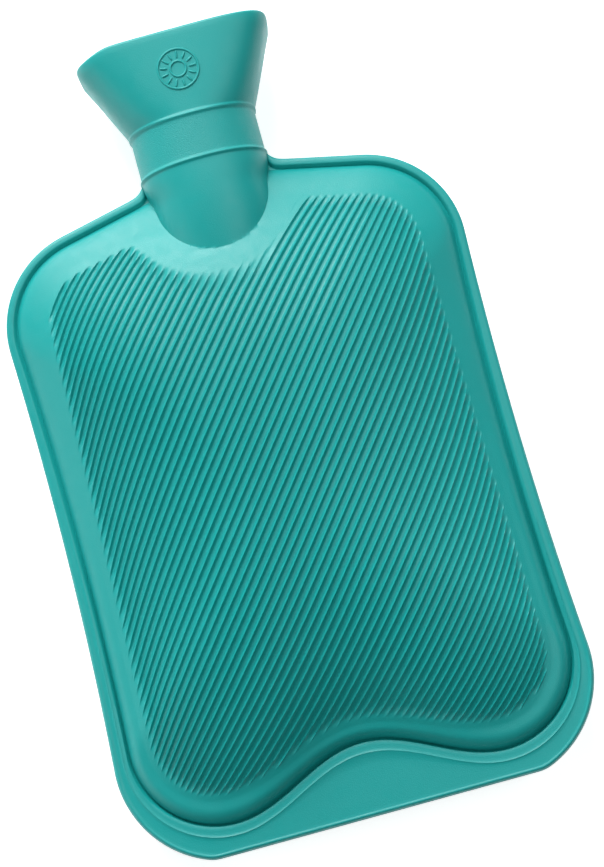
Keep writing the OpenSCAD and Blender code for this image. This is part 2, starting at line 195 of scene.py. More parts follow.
def solid(name: str, points: Array, faces: Faces) -> bpy.types.Object:
    """A closed mesh object from points in millimetres, with its faces turned outwards.

    Args:
        name: the object's name.
        points: one point per row, in millimetres in the bottle's frame.
        faces: arrays of corner indices, one array for triangles and one for quads.

    Returns:
        The object, linked to the scene at the origin.
    """
    if signed_volume(points, faces) < 0:
        faces = [group[:, ::-1] for group in faces]
    mesh = bpy.data.meshes.new(name)
    mesh.vertices.add(len(points))
    mesh.vertices.foreach_set("co", (points * MM).astype(np.float32).ravel())
    corners = np.concatenate([group.ravel() for group in faces])
    counts = np.concatenate([np.full(len(group), group.shape[1]) for group in faces])
    mesh.loops.add(len(corners))
    mesh.loops.foreach_set("vertex_index", corners.astype(np.int32))
    mesh.polygons.add(len(counts))
    starts = np.concatenate([[0], np.cumsum(counts)[:-1]])
    mesh.polygons.foreach_set("loop_start", starts.astype(np.int32))
    mesh.update(calc_edges=True)
    mesh.validate()
    made = bpy.data.objects.new(name, mesh)
    bpy.context.scene.collection.objects.link(made)
    return made


def tube(name: str, rows: Array, ends: Array | list[list[float]]) -> bpy.types.Object:
    """A closed solid from rings of points, with a fan over its first and its last ring.

    Args:
        name: the object's name.
        rows: rings by points by three, in millimetres.
        ends: the middle points of the two fans.

    Returns:
        The closed mesh object.
    """
    count, columns = rows.shape[:2]
    points = np.concatenate([rows.reshape(-1, 3), ends])
    ring = np.arange(columns)
    caps = np.concatenate([
        fan(ring, len(points) - 2)[:, ::-1],
        fan((count - 1) * columns + ring, len(points) - 1),
    ])
    return solid(name, points, [strips(count, columns), caps])


def hoop(name: str, rows: Array) -> bpy.types.Object:
    """A closed solid from rings of points, of which the last joins the first.

    Args:
        name: the object's name.
        rows: rings by points by three, in millimetres.

    Returns:
        The closed mesh object.
    """
    count, columns = rows.shape[:2]
    quads = strips(count + 1, columns) % (count * columns)
    return solid(name, rows.reshape(-1, 3), [quads])


def combine(base: bpy.types.Object, other: bpy.types.Object, how: Join) -> None:
    """Adds a closed mesh to another, or cuts it out, and deletes the second object.

    Args:
        base: the object that stays.
        other: the object that is added or cut out.
        how: which of the two is done.

    Raises:
        RuntimeError: if nothing is left, which a mesh that isn't closed would cause.
    """
    step = base.modifiers.new(how.name.lower(), "BOOLEAN")
    step.operation = how.value
    step.solver = "MANIFOLD"
    step.object = other
    graph = bpy.context.evaluated_depsgraph_get()
    mesh = bpy.data.meshes.new_from_object(base.evaluated_get(graph))
    base.modifiers.clear()
    before = base.data
    base.data = mesh
    bpy.data.meshes.remove(before)
    gone = other.data
    bpy.data.objects.remove(other)
    bpy.data.meshes.remove(gone)
    if not mesh.polygons:
        raise RuntimeError(f"{base.name}: {how.name} left nothing")


def ease_edges(piece: bpy.types.Object, crease: float) -> None:
    """Shades a piece smooth, apart from edges that turn by more than the crease, in degrees."""
    piece.data.shade_smooth()
    piece.data.set_sharp_from_angle(angle=np.radians(crease))


def oval(
    a: Array | float, b: Array | float, power: Array | float, t: Array
) -> tuple[Array, Array]:
    """Points of |x/a|^power + |z/b|^power = 1, in the direction t of a unit circle.

    Args:
        a: half width.
        b: half depth.
        power: 2 for an ellipse, more for a squarer shape.
        t: directions in radians.

    Returns:
        The points' places across and up.
    """
    c, s = np.cos(t), np.sin(t)
    k = (np.abs(c) ** power + np.abs(s) ** power) ** (-1.0 / power)
    return a * c * k, b * s * k


def lathe(
    name: str,
    profile: Array,
    axis_z: float,
    columns: int = 96,
    swell: Array | None = None,
    ring: bool = False,
) -> bpy.types.Object:
    """A solid turned about the neck's axis.

    A point at radius r, level y and angle t stands at (r sin t, y, axis_z + r cos t), so t turns
    by the right-hand rule about +Y.

    Args:
        name: the object's name.
        profile: radius and level of each row; the first and last lie on the axis, unless ring.
        axis_z: height of the axis.
        columns: steps around.
        swell: what is added to the radius, rows by columns, as for a thread.
        ring: whether the profile is a closed loop that stays off the axis.

    Returns:
        The closed mesh object.
    """
    t = np.arange(columns) * 2 * np.pi / columns
    grid = profile if ring else profile[1:-1]
    r = np.repeat(grid[:, :1], columns, axis=1)
    if swell is not None:
        r = r + (swell if ring else swell[1:-1])
    level = np.repeat(grid[:, 1:], columns, axis=1)
    points = np.stack([r * np.sin(t), level, axis_z + r * np.cos(t)], axis=-1)
    if ring:
        return hoop(name, points)
    return tube(name, points, [[0.0, profile[0, 1], axis_z], [0.0, profile[-1, 1], axis_z]])


@dataclass(frozen=True)
class Reach:
    """Distance from the bulge's middle to one of the body's lines, in any direction."""

    line: Array
    middle_y: float

    @cached_property
    def table(self) -> tuple[Array, Array]:
        """Angles from the bottom to the top, and the line's distance at each.

        Returns:
            The angles in radians, growing, and the distances.
        """
        rel = self.line - np.array([0.0, self.middle_y])
        a = np.arctan2(rel[:, 1], rel[:, 0])
        order = np.argsort(a)
        return a[order], np.linalg.norm(rel, axis=1)[order]

    def __call__(self, angle: Array) -> Array:
        """Distance at each angle in radians; the left side mirrors the right."""
        folded = np.arctan2(np.sin(angle), np.abs(np.cos(angle)))
        return np.interp(folded, *self.table)

    def square_on(self, angle: Array) -> Array:
        """How squarely a ray from the middle crosses the line: r / sqrt(r^2 + (dr/da)^2).

        Args:
            angle: the ray's angle in radians.

        Returns:
            1 where it crosses at a right angle, less where it slants.
        """
        step = 0.01
        r = self(angle)
        slope = (self(angle + step) - self(angle - step)) / (2 * step)
        return r / np.hypot(r, slope)


@dataclass(frozen=True)
class Outline:
    """Plan lines of the bottle's body, in millimetres."""

    seam_z: float
    y_bottom: float
    y_lip: float
    width: float = 200.0
    waist_in: float = 2.5
    shoulder_in: float = 1.5
    shoulder_r: float = 42.0
    shoulder_slope: float = 12.6
    shoulder_drop: float = 53.0
    corner_r: float = 44.0
    corner_rise: float = 42.0
    wave_x: float = 57.0
    wave_low: float = 12.5
    wave_rise: float = 18.0
    groove_in_top: float = 4.4
    groove_in_bottom: float = 7.5
    bead_in_top: float = 3.0
    bead_in_bottom: float = 4.7
    tab_gap: float = 5.0
    neck_w: float = 54.0
    band_len: float = 19.0
    funnel_len: float = 37.0
    neck_fillet: float = 8.0
    neck_overlap: float = 0.8
    fillet_shrink: float = 0.68
    overlap_grow: float = 0.1
    stub: float = 6.0
    apex_w: float = 26.0
    field_in: float = 17.2
    field_in_top: float = 18.6
    field_gap: float = 11.6
    field_flat: float = 3.0
    notch_x: float = 37.5
    field_notch: Triple = (38.0, 12.3, 44.0)
    sheet_notch: Triple = (60.6, -22.6, 31.0)
    sheet_out: float = 1.5
    side_span: Pair = (0.02, 0.99)
    wave_turn: float = 88.0
    field_turn: float = 85.0
    middle_up: float = 1.0

    @property
    def half_w(self) -> float:
        """Half the body's width."""
        return self.width / 2

    @property
    def y_funnel(self) -> float:
        """Level of the upper neck bead, where the funnel starts."""
        return self.y_lip - self.funnel_len

    @property
    def y_neck(self) -> float:
        """Level of the lower neck bead."""
        return self.y_funnel - self.band_len

    @property
    def y_shoulder(self) -> float:
        """Level of the shoulder arcs' centres."""
        return self.y_neck - self.shoulder_drop

    @property
    def y_corner(self) -> float:
        """Level of the bottom corners' centres."""
        return self.y_bottom + self.corner_rise

    @property
    def middle_y(self) -> float:
        """Level of the bulge's middle, which every ring goes around."""
        return (self.y_bottom + self.y_neck) / 2 + self.middle_up

    @property
    def shoulder_x(self) -> float:
        """Place across of the shoulder arcs' centres."""
        return self.half_w - self.shoulder_in - self.shoulder_r

    @property
    def slope(self) -> float:
        """The shoulders' fall, in radians."""
        return float(np.radians(self.shoulder_slope))

    @property
    def y_apex(self) -> float:
        """Level where the two shoulder slopes would meet."""
        rise = self.shoulder_r / np.cos(self.slope) + self.shoulder_x * np.tan(self.slope)
        return float(self.y_shoulder + rise)

    def side(self, start: float, end: float, inset_b: float, inset_t: float) -> Array:
        """Right side between two levels, drawn in by a parabola at the waist.

        Args:
            start: level of the side's lower end.
            end: level of the side's upper end.
            inset_b: how far inside the edge it lies at the bottom.
            inset_t: how far inside the edge it lies at the top.

        Returns:
            The points, upwards.
        """
        t = np.linspace(*self.side_span, 90)
        waist = self.shoulder_in * t + self.waist_in * 4 * t * (1 - t)
        across = self.half_w - waist - mix(inset_b, inset_t, t)
        return np.stack([across, mix(start, end, t)], axis=1)

    def shoulder(self, inset: float) -> Array:
        """Shoulder arc, straight slope and the fillet that turns up beside the neck.

        Args:
            inset: how far inside the edge the line lies.

        Returns:
            The points, from the side to the middle of the neck.
        """
        tan, cos = np.tan(self.slope), np.cos(self.slope)
        r = self.neck_fillet - self.fillet_shrink * inset
        x_end = self.neck_w / 2 - self.neck_overlap - self.overlap_grow * inset
        cx = x_end + r
        cy = self.y_apex - inset / cos - cx * tan + r / cos
        top = max(cy, self.y_neck) + self.stub
        return np.concatenate([
            self.shoulder_arc(inset),
            arc(cx, cy, r, -90 - self.shoulder_slope, -180, 30),
            [[x_end, top], [0.0, top]],
        ])

    def shoulder_arc(self, inset: float) -> Array:
        """Shoulder arc up to where its straight slope starts."""
        end = 90 - self.shoulder_slope
        return arc(self.shoulder_x, self.y_shoulder, self.shoulder_r - inset, 0, end)

    def straight_shoulder(self, inset: float) -> Array:
        """Shoulder arc and straight slope, turned over at the middle of the neck by a parabola.

        Args:
            inset: how far inside the edge the line lies.

        Returns:
            The points, from the side to the middle of the neck.
        """
        top = self.y_apex - inset / np.cos(self.slope)
        x = np.linspace(self.apex_w, 0, 20)
        y = top - np.tan(self.slope) * (self.apex_w + x ** 2 / self.apex_w) / 2
        return np.concatenate([self.shoulder_arc(inset), np.stack([x, y], axis=1)])

    def edge(self) -> Array:
        """Right half of the outer edge.

        Returns:
            The points, from the middle of the bottom to the middle of the neck.
        """
        start = -np.degrees(np.arcsin((self.y_corner - self.y_bottom) / self.corner_r))
        parts = [
            [[0.0, self.y_bottom]],
            arc(self.half_w - self.corner_r, self.y_corner, self.corner_r, start, 0),
            self.side(self.y_corner, self.y_shoulder, 0.0, 0.0),
            self.shoulder(0.0),
        ]
        return softened(evenly(np.concatenate(parts)))

    def wave(self, low: float, inset_b: float, inset_t: float, straight: bool = False) -> Array:
        """Right half of a line with the bottom's double wave: low + rise (1 + cos) / 2.

        Args:
            low: level of the wave's low points.
            inset_b: how far inside the edge the line lies beside the bottom corners.
            inset_t: how far inside the edge it lies at the shoulders.
            straight: whether the shoulders are carried on straight under the neck.

        Returns:
            The points, from the middle of the bottom to the middle of the neck.
        """
        t = np.linspace(0, 1, 60)
        r = self.half_w - inset_b - self.wave_x
        top = self.straight_shoulder(inset_t) if straight else self.shoulder(inset_t)
        parts = [
            np.stack([self.wave_x * t, low + self.wave_rise * (1 + np.cos(np.pi * t)) / 2], axis=1),
            arc(self.wave_x, low + r, r, -self.wave_turn, 0),
            self.side(low + r, self.y_shoulder, inset_b, inset_t),
            top,
        ]
        return softened(evenly(np.concatenate(parts)))

    @cached_property
    def groove(self) -> Reach:
        """The groove around the bulge."""
        low = self.y_bottom + self.wave_low
        return Reach(self.wave(low, self.groove_in_bottom, self.groove_in_top), self.middle_y)

    @cached_property
    def bulge(self) -> Reach:
        """The groove with its shoulders carried on straight, which the bulge's height follows."""
        low = self.y_bottom + self.wave_low
        return Reach(self.wave(low, self.groove_in_bottom, self.groove_in_top, True), self.middle_y)

    @cached_property
    def bead(self) -> Reach:
        """The thin ridge along the rim's bead, which is also the flat tab's upper line."""
        low = self.y_bottom + self.wave_low - self.tab_gap
        return Reach(self.wave(low, self.bead_in_bottom, self.bead_in_top), self.middle_y)

    @cached_property
    def rim(self) -> Reach:
        """The outer edge."""
        return Reach(self.edge(), self.middle_y)

    @staticmethod
    def low(angle: Array) -> Array:
        """Share of the bottom's shape in a direction: 1 at the bottom, 0 at the shoulders."""
        return smooth(LOW_LEVEL - LOW_SLOPE * np.sin(angle))

    def field_line(self, grow: float, notch_r: float, notch_up: float, notch_turn: float) -> Array:
        """Closed line around the ribs, turning the same way as growing angles.

        Args:
            grow: how far outside the ribs' ends the line lies.
            notch_r: radius of the notch below the neck.
            notch_up: level of the notch's centre, measured down from the neck.
            notch_turn: how far the notch's arc reaches from its lowest point, in degrees.

        Returns:
            The line's points.
        """
        low = self.y_bottom + self.wave_low + self.field_gap - grow
        inset = self.field_in_top - grow
        r = self.half_w - self.field_in + grow - self.wave_x
        t = np.linspace(0, 1, 60)
        rise = self.wave_rise - self.field_flat
        tip_y = self.y_apex - inset / np.cos(self.slope) - self.notch_x * np.tan(self.slope)
        half = evenly(np.concatenate([
            np.stack([self.wave_x * t, low + rise * (1 + np.cos(np.pi * t)) / 2], axis=1),
            arc(self.wave_x, low + r, r, -self.field_turn, 0),
            self.shoulder_arc(inset),
            [[self.notch_x, tip_y]],
            arc(0, self.y_neck - notch_up, notch_r, notch_turn - 90, -90),
        ]))
        return np.concatenate([half, (half * [-1.0, 1.0])[-2:0:-1]])

    @cached_property
    def field(self) -> Array:
        """The line at which the valleys between the ribs end."""
        return self.field_line(0.0, *self.field_notch)

    @cached_property
    def sheet(self) -> Array:
        """The outer line of the part of the front that is meshed along the ribs."""
        return self.field_line(self.sheet_out, *self.sheet_notch)


@dataclass(frozen=True)
class Ribs:
    """The diagonal ribs: straight and even on a flat sheet that draws in towards its borders."""

    outline: Outline
    pitch: float = 3.34
    depth: float = 1.42
    angle: float = 38.46
    crest_power: float = 3.4
    side_pull: float = 4.14
    side_from: float = 80.0
    side_power: float = 4.5
    low_pull: float = 5.2
    low_from: float = 90.0
    low_power: float = 3.0
    top_pull: float = 2.0
    top_from: float = 95.0
    top_power: float = 5.0
    runout_low: float = 8.0
    runout_high: float = 6.0
    tip_power: float = 1.6
    meet: float = 0.5
    low_span: float = 0.5
    high_span: float = 0.3
    corrections: int = 30

    @property
    def heading(self) -> Pair:
        """Cosine and sine of the ribs' angle to the bottle's length."""
        return np.cos(np.radians(self.angle)), np.sin(np.radians(self.angle))

    def pull_x(self, x: Array) -> Array:
        """How far the sheet draws in across at a place on it."""
        return self.side_pull * np.sign(x) * (np.abs(x) / self.side_from) ** self.side_power

    def pull_y(self, y: Array) -> Array:
        """How far the sheet draws in along at a place on it, more at the bottom than at the top.

        Args:
            y: place along the sheet, counted from the bulge's middle.

        Returns:
            The shift, negative below the middle.
        """
        low = -self.low_pull * (np.maximum(-y, 0) / self.low_from) ** self.low_power
        top = self.top_pull * (np.maximum(y, 0) / self.top_from) ** self.top_power
        return low + top

    def to_sheet(self, x: Array, y: Array) -> tuple[Array, Array]:
        """Place across and along the ribs on the flat sheet, found by repeated correction.

        Args:
            x: place across the bottle.
            y: place along the bottle.

        Returns:
            Place across the ribs, and place along them.
        """
        y = y - self.outline.middle_y
        flat_x, flat_y = x, y
        for _ in range(self.corrections):
            flat_x = x + self.pull_x(flat_x)
            flat_y = y + self.pull_y(flat_y)
        c, s = self.heading
        return flat_x * c - flat_y * s, flat_x * s + flat_y * c

    def from_sheet(self, u: Array, v: Array) -> tuple[Array, Array]:
        """Plan position of a place across and along the ribs.

        Args:
            u: place across the ribs.
            v: place along the ribs.

        Returns:
            Place across the bottle, and place along it.
        """
        c, s = self.heading
        x, y = u * c + v * s, -u * s + v * c
        return x - self.pull_x(x), self.outline.middle_y + y - self.pull_y(y)

    def crossings(self, line: Array, u: Array) -> tuple[Array, Array]:
        """Where straight lines along the ribs enter and leave a closed line.

        Args:
            line: the closed line's plan positions.
            u: place of each straight line across the ribs.

        Returns:
            The lowest and highest place along each straight line where it crosses the closed one,
            from all of both at once; a straight line that stays outside gets 0 for both.
        """
        fu, fv = self.to_sheet(line[:, 0], line[:, 1])
        nu, nv = np.roll(fu, -1), np.roll(fv, -1)
        crossed = (fu[None, :] < u[:, None]) != (nu[None, :] < u[:, None])
        step = np.where(np.abs(nu - fu) < TINY, TINY, nu - fu)
        v = fv[None, :] + (nv - fv)[None, :] * (u[:, None] - fu[None, :]) / step[None, :]
        low = np.where(crossed, v, np.inf).min(axis=1)
        high = np.where(crossed, v, -np.inf).max(axis=1)
        outside = ~crossed.any(axis=1)
        return np.where(outside, 0.0, low), np.where(outside, 0.0, high)

    def height(self, u: Array, v: Array, low: Array) -> Array:
        """Height of the rib surface below the smooth bulge, 0 on the crests.

        A crest is narrow and round and a valley is wide: the crest's shape is
        ((1 + cos) / 2) ^ crest_power over one pitch.  A valley ends where a span to either side of
        its middle has reached the field's border.  Along its last stretch, of length w, it is
        filled from below by (1 - left / w) ^ tip_power, so that it ends in a narrowing tip.
        Towards the bottom, crests and valleys meet at a level between them instead.

        Args:
            u: place across the ribs.
            v: place along the ribs.
            low: share of the bottom's shape at each place.

        Returns:
            The height, none above 0.
        """
        turn = u / self.pitch
        crest = (0.5 + 0.5 * np.cos(2 * np.pi * turn)) ** self.crest_power
        valley = np.floor(turn).astype(int)
        first = valley.min()
        middles = (np.arange(first, valley.max() + 1) + 0.5) * self.pitch
        across = np.linspace(-1, 1, 5) * self.pitch
        field = self.outline.field
        starts = [self.crossings(field, middles + self.low_span * d)[0] for d in across]
        stops = [self.crossings(field, middles + self.high_span * d)[1] for d in across]
        start = np.max(starts, axis=0)[valley - first]
        stop = np.min(stops, axis=0)[valley - first]
        left = np.minimum((v - start) / self.runout_low, (stop - v) / self.runout_high)
        left = np.clip(left, 0, 1)
        end = (1 - left) ** self.tip_power
        filled = np.maximum(0.0, 1.0 - crest - end)
        met = mix(1.0 - crest, self.meet, end)
        return -self.depth * mix(filled, met, low)


@dataclass(frozen=True)
class Body:
    """Bulged body with its ribs, groove, rim bead and bottom tab."""

    outline: Outline
    ribs: Ribs
    crown_front: float = 31.0
    crown_back: float = 26.0
    groove_z: float = 1.0
    side_power: float = 2.6
    end_power: float = 3.0
    back_flat: float = 0.45
    back_power: float = 2.0
    rim_top: float = 3.0
    rim_top_side: float = 2.0
    edge_z: float = 1.0
    wall_w: tuple[float, float] = (1.8, 1.0)
    wall_from: float = 0.2
    round_w: tuple[float, float] = (2.3, 1.5)
    ridge_h: float = 0.36
    ridge_w: float = 0.4
    lip_h: float = 0.36
    lip_in: float = 1.5
    groove_h: float = 0.3
    foot_lift: float = 2.9
    foot_wall: tuple[float, float] = (1.5, 1.3)
    groove_wall: tuple[float, float] = (1.6, 0.8)
    foot_w: tuple[float, float] = (14.5, 15.0)
    flash: float = 0.25
    wall: float = 3.0
    web_in: float = 3.0
    mid_stations: int = 21
    fine_rows: int = 5
    front_columns: int = 760
    back_columns: int = 380
    max_turn: float = 0.008
    meet_out: float = 0.55
    foot_share: float = 0.36
    wall_power: float = 2.2
    ridge_least: float = 0.2
    lip_ease: float = 0.6
    back_wall: float = 2.0
    sheet_margin: float = 0.5
    end_spread: float = 1.6
    ridge_side: float = 0.8
    flash_from: float = 22.0
    flash_ease: float = 12.0
    rib_steps: tuple[float, ...] = (0.0, 0.08, 0.17, 0.3, 0.5, 0.7, 0.83, 0.92)
    near_steps: tuple[float, ...] = (
        0.0, 1.0, 2.0, 3.0, 4.0, 5.2, 6.6, 8.2, 10.0, 12.5, 16.0)
    far_steps: tuple[float, ...] = (
        0.0, 1.0, 2.0, 3.0, 4.0, 5.0, 6.0, 7.0, 8.0, 9.2, 10.6, 12.2, 14.2, 16.8, 20.0, 24.0)
    margin_shares: tuple[float, ...] = (
        0.04, 0.1, 0.18, 0.27, 0.36, 0.45, 0.54, 0.63, 0.71, 0.79, 0.86, 0.92)
    groove_steps: tuple[float, ...] = (-2.2, -1.5, -1.0, -0.6, -0.3, -0.1, 0.1, 0.28)
    bead_shares: tuple[float, ...] = (0.12, 0.28, 0.5, 0.75)
    rim_shares: tuple[float, ...] = (0.2, 0.42)
    rim_steps: tuple[float, ...] = (3.2, 2.2, 1.9, 1.6, 1.2, 0.8, 0.45, 0.2, 0.05)
    flash_rows: tuple[Pair, ...] = (
        (0.0, 1.0), (0.0, 0.45), (1.0, 0.12), (1.0, -0.12), (0.0, -0.45), (0.0, -1.0))
    back_rim_shares: tuple[float, ...] = (0.95, 0.8, 0.6, 0.4, 0.2, 0.06)
    back_shares: tuple[float, ...] = (
        0.985, 0.96, 0.92, 0.87, 0.81, 0.75, 0.69, 0.63, 0.57, 0.51, 0.45, 0.3, 0.15)
    hollow_front: tuple[float, ...] = (0.1, 0.25, 0.4, 0.55, 0.68, 0.8, 0.9, 0.96, 1.0)
    hollow_back: tuple[float, ...] = (0.96, 0.9, 0.8, 0.7, 0.6, 0.52, 0.45, 0.2)
    hollow_columns: int = 96

    def share(self, x: Array, y: Array) -> tuple[Array, Array]:
        """Share of the way from the bulge's middle to its border, and the angle there.

        Args:
            x: place across.
            y: place along.

        Returns:
            The share, and the angle in radians.
        """
        dy = y - self.outline.middle_y
        a = np.arctan2(dy, x)
        return np.hypot(x, dy) / self.outline.bulge(a), a

    def front_z(self, x: Array, y: Array) -> Array:
        """Height of the smooth front: groove + (crown - groove)(1 - share^power) over the seam.

        Args:
            x: place across.
            y: place along.

        Returns:
            The height over the ground.
        """
        u, a = self.share(x, y)
        power = mix(self.side_power, self.end_power, np.sin(a) ** 2)
        rise = (self.crown_front - self.groove_z) * (1 - np.minimum(u, 1.0) ** power)
        return self.outline.seam_z + self.groove_z + rise

    def back_z(self, x: Array, y: Array) -> Array:
        """Height of the smooth back: flat in the middle, then a parabola up to the groove.

        Args:
            x: place across.
            y: place along.

        Returns:
            The height over the ground.
        """
        u, _ = self.share(x, y)
        bend = np.clip((u - self.back_flat) / (1 - self.back_flat), 0, 1) ** self.back_power
        return self.outline.seam_z - mix(self.crown_back, self.groove_z, bend)

    def polar(self, angle: Array, r: Array) -> tuple[Array, Array]:
        """Plan position at a distance and angle from the bulge's middle."""
        return r * np.cos(angle), self.outline.middle_y + r * np.sin(angle)

    def rib_grid(self) -> tuple[Array, int, int]:
        """Points of the ribbed field, one row per line along the ribs, closer on the crests.

        Returns:
            The points, the number of lines and the number of points in each.
        """
        sheet = self.outline.sheet
        fu, _ = self.ribs.to_sheet(sheet[:, 0], sheet[:, 1])
        pitch = self.ribs.pitch
        count = np.arange(int(fu.min() / pitch) - 1, int(fu.max() / pitch) + 2)
        lines = (count[:, None] + np.array(self.rib_steps)[None, :]).ravel() * pitch
        margin = self.sheet_margin
        lines = lines[(lines > fu.min() + margin) & (lines < fu.max() - margin)]
        low, high = self.ribs.crossings(sheet, lines)
        near, far = np.array(self.near_steps), np.array(self.far_steps)
        ends = self.end_spread * (near[-1] + far[-1])
        shrink = np.minimum(1.0, (high - low) / ends)[:, None]
        middle = np.linspace(0, 1, self.mid_stations + 2)[1:-1]
        start = low[:, None] + near[None, :] * shrink
        end = high[:, None] - far[None, ::-1] * shrink
        between = start[:, -1:] + (end[:, :1] - start[:, -1:]) * middle[None, :]
        along = np.concatenate([start, between, end], axis=1)
        u = np.repeat(lines[:, None], along.shape[1], axis=1)
        x, y = self.ribs.from_sheet(u, along)
        low_here = self.outline.low(np.arctan2(y - self.outline.middle_y, x))
        z = self.skin_z(x, y) + self.ribs.height(u, along, low_here)
        return np.stack([x, y, z], axis=-1).reshape(-1, 3), *along.shape

    def inward(self, angle: Array, r: Array) -> Array:
        """Distance in from the groove, whose shoulders are carried on straight under the neck."""
        line = self.outline.bulge
        return (line(angle) - r) * line.square_on(angle)

    def split_long(self, border: Array) -> tuple[Array, Index]:
        """The field's border with points added where it turns by more than a small angle.

        Args:
            border: plan positions along a closed line.

        Returns:
            The finer line, and the number of its points for each point of the first line.
        """
        angle = np.unwrap(np.arctan2(border[:, 1] - self.outline.middle_y, border[:, 0]))
        turn = np.diff(np.append(angle, angle[0] + 2 * np.pi))
        parts = np.maximum(1, np.ceil(turn / self.max_turn)).astype(int)
        owner = np.repeat(np.arange(len(border)), parts)
        first = np.cumsum(parts) - parts
        share = ((np.arange(len(owner)) - first[owner]) / parts[owner])[:, None]
        return mix(border[owner], np.roll(border, -1, axis=0)[owner], share), parts

    def rim_z(self, angle: Array, r: Array) -> Array:
        """Height of the rim over the seam plane between groove and edge.

        The bead's inner wall rises from the groove, its outer side rounds down to the edge as a
        quarter ellipse, and a thin ridge follows the tab's upper line, strongest at the bottom.

        Args:
            angle: angle of each place.
            r: distance of each place from the bulge's middle.

        Returns:
            The height over the seam plane.
        """
        line = self.outline
        from_groove = (r - line.groove(angle)) * line.groove.square_on(angle)
        from_edge = (line.rim(angle) - r) * line.rim.square_on(angle)
        from_ridge = (r - line.bead(angle)) * line.bead.square_on(angle)
        low = line.low(angle)
        wall = np.clip((from_groove - self.wall_from) / mix(*self.wall_w, low), 0, 1)
        wall = 1 - (1 - wall) ** self.wall_power
        rounded = np.clip(from_edge / mix(*self.round_w, low), 0, 1)
        ease = np.sqrt(1 - (1 - rounded) ** 2)
        body = self.groove_h + (mix(self.rim_top_side, self.rim_top, low) - self.groove_h) * wall
        share = mix(self.ridge_least, 1.0, low)
        ridge = self.ridge_h * share * np.exp(-(from_ridge / self.ridge_w) ** 2)
        lip = self.lip_h * low * (1 - smooth((from_edge - self.lip_in) / self.lip_ease))
        return self.edge_z + (body + ridge + lip - self.edge_z) * ease

    def foot(self, angle: Array, inside: Array) -> Array:
        """Fullness added to the front beside the groove, so that its wall drops in steeply.

        Over the distance d in from the groove it is lift (1 - exp(-d / wall)), eased out to 0
        over the margin's width, and it is stronger at the bottom than at the shoulders.

        Args:
            angle: angle of each place.
            inside: distance of each place in from the groove.

        Returns:
            The height added.
        """
        low = self.outline.low(angle)
        share = mix(self.foot_share, 1.0, low)
        grown = 1 - np.exp(-np.maximum(inside, 0) / mix(*self.foot_wall, low))
        return self.foot_lift * share * grown * (1 - smooth(inside / mix(*self.foot_w, low)))

    def skin_z(self, x: Array, y: Array) -> Array:
        """Height of the front inside the groove: the bulge, its foot and the groove's wall.

        Args:
            x: place across.
            y: place along.

        Returns:
            The height over the ground.
        """
        dy = y - self.outline.middle_y
        angle = np.arctan2(dy, x)
        inward = self.inward(angle, np.hypot(x, dy))
        wall = mix(*self.groove_wall, self.outline.low(angle))
        drop = (self.groove_z - self.groove_h) * np.exp(-np.maximum(inward, 0) / wall)
        return self.front_z(x, y) + self.foot(angle, inward) - drop

    def front_rows(self, angle: Array, start: Array) -> Array:
        """Rings from the ribbed field's border over the margin, the groove and the bead.

        Args:
            angle: angle of each column.
            start: distance of the field's border in each column.

        Returns:
            Points as rows by columns by three.
        """
        line = self.outline
        groove, edge, bead = line.groove(angle), line.rim(angle), line.bead(angle)
        square = line.groove.square_on(angle)
        rows = [mix(start, groove, s) for s in self.margin_shares]
        rows += [groove + d / square for d in self.groove_steps]
        rows += [mix(groove + self.groove_steps[-1] / square, bead, s) for s in self.bead_shares]
        near = self.ridge_side / line.bead.square_on(angle)
        rows += [bead - np.minimum(near, (bead - groove) * 0.2) * 0.5, bead,
                 bead + np.minimum(near * 0.5, (edge - bead) * 0.1)]
        rows += [mix(bead, edge, s) for s in self.rim_shares]
        scale = np.minimum(1 / line.rim.square_on(angle), (edge - bead) * 0.15)
        rows += [edge - d * scale for d in self.rim_steps]
        r = np.maximum.accumulate(np.array(rows), axis=0)
        x, y = self.polar(angle[None, :], r)
        sunk = 1 - smooth((r - start) / np.maximum(groove - start, 1e-6) / self.meet_out)
        sink = self.ribs.depth * self.ribs.meet * line.low(angle)[None, :]
        front = self.skin_z(x, y) - sink * sunk
        z = np.where(r <= groove, front, line.seam_z + self.rim_z(angle[None, :], r))
        return np.stack([x, y, z], axis=-1)

    def edge_rows(self, angle: Array) -> Array:
        """Rings down the outer edge, with the thin flash that the mould's parting line leaves.

        Args:
            angle: angle of each column.

        Returns:
            Points as rows by columns by three.
        """
        line = self.outline
        r = line.rim(angle)
        _, y = self.polar(angle, r)
        out = self.flash * (1 - smooth((y - line.y_neck + self.flash_from) / self.flash_ease))
        points = []
        for extra, share in self.flash_rows:
            x, y = self.polar(angle, r + out * extra)
            level = np.full_like(x, line.seam_z + share * self.edge_z)
            points.append(np.stack([x, y, level], axis=1))
        return np.array(points)

    def back_rows(self, angle: Array) -> Array:
        """Rings from the edge over the back's bead and groove to the flat that it rests on.

        Args:
            angle: angle of each column.

        Returns:
            Points as rows by columns by three.
        """
        line = self.outline
        groove, edge = line.groove(angle), line.rim(angle)
        rows = [mix(groove, edge, s) for s in self.back_rim_shares]
        rows += [mix(0.0, groove, s) for s in (1.0, *self.back_shares)]
        r = np.array(rows)
        x, y = self.polar(angle[None, :], r)
        rim = line.seam_z - self.rim_z(angle[None, :], r)
        rise = (self.groove_z - self.groove_h) * np.exp((r - groove) / self.back_wall)
        back = self.back_z(x, y) + rise
        z = np.where(r <= groove, back, rim)
        return np.stack([x, y, z], axis=-1)

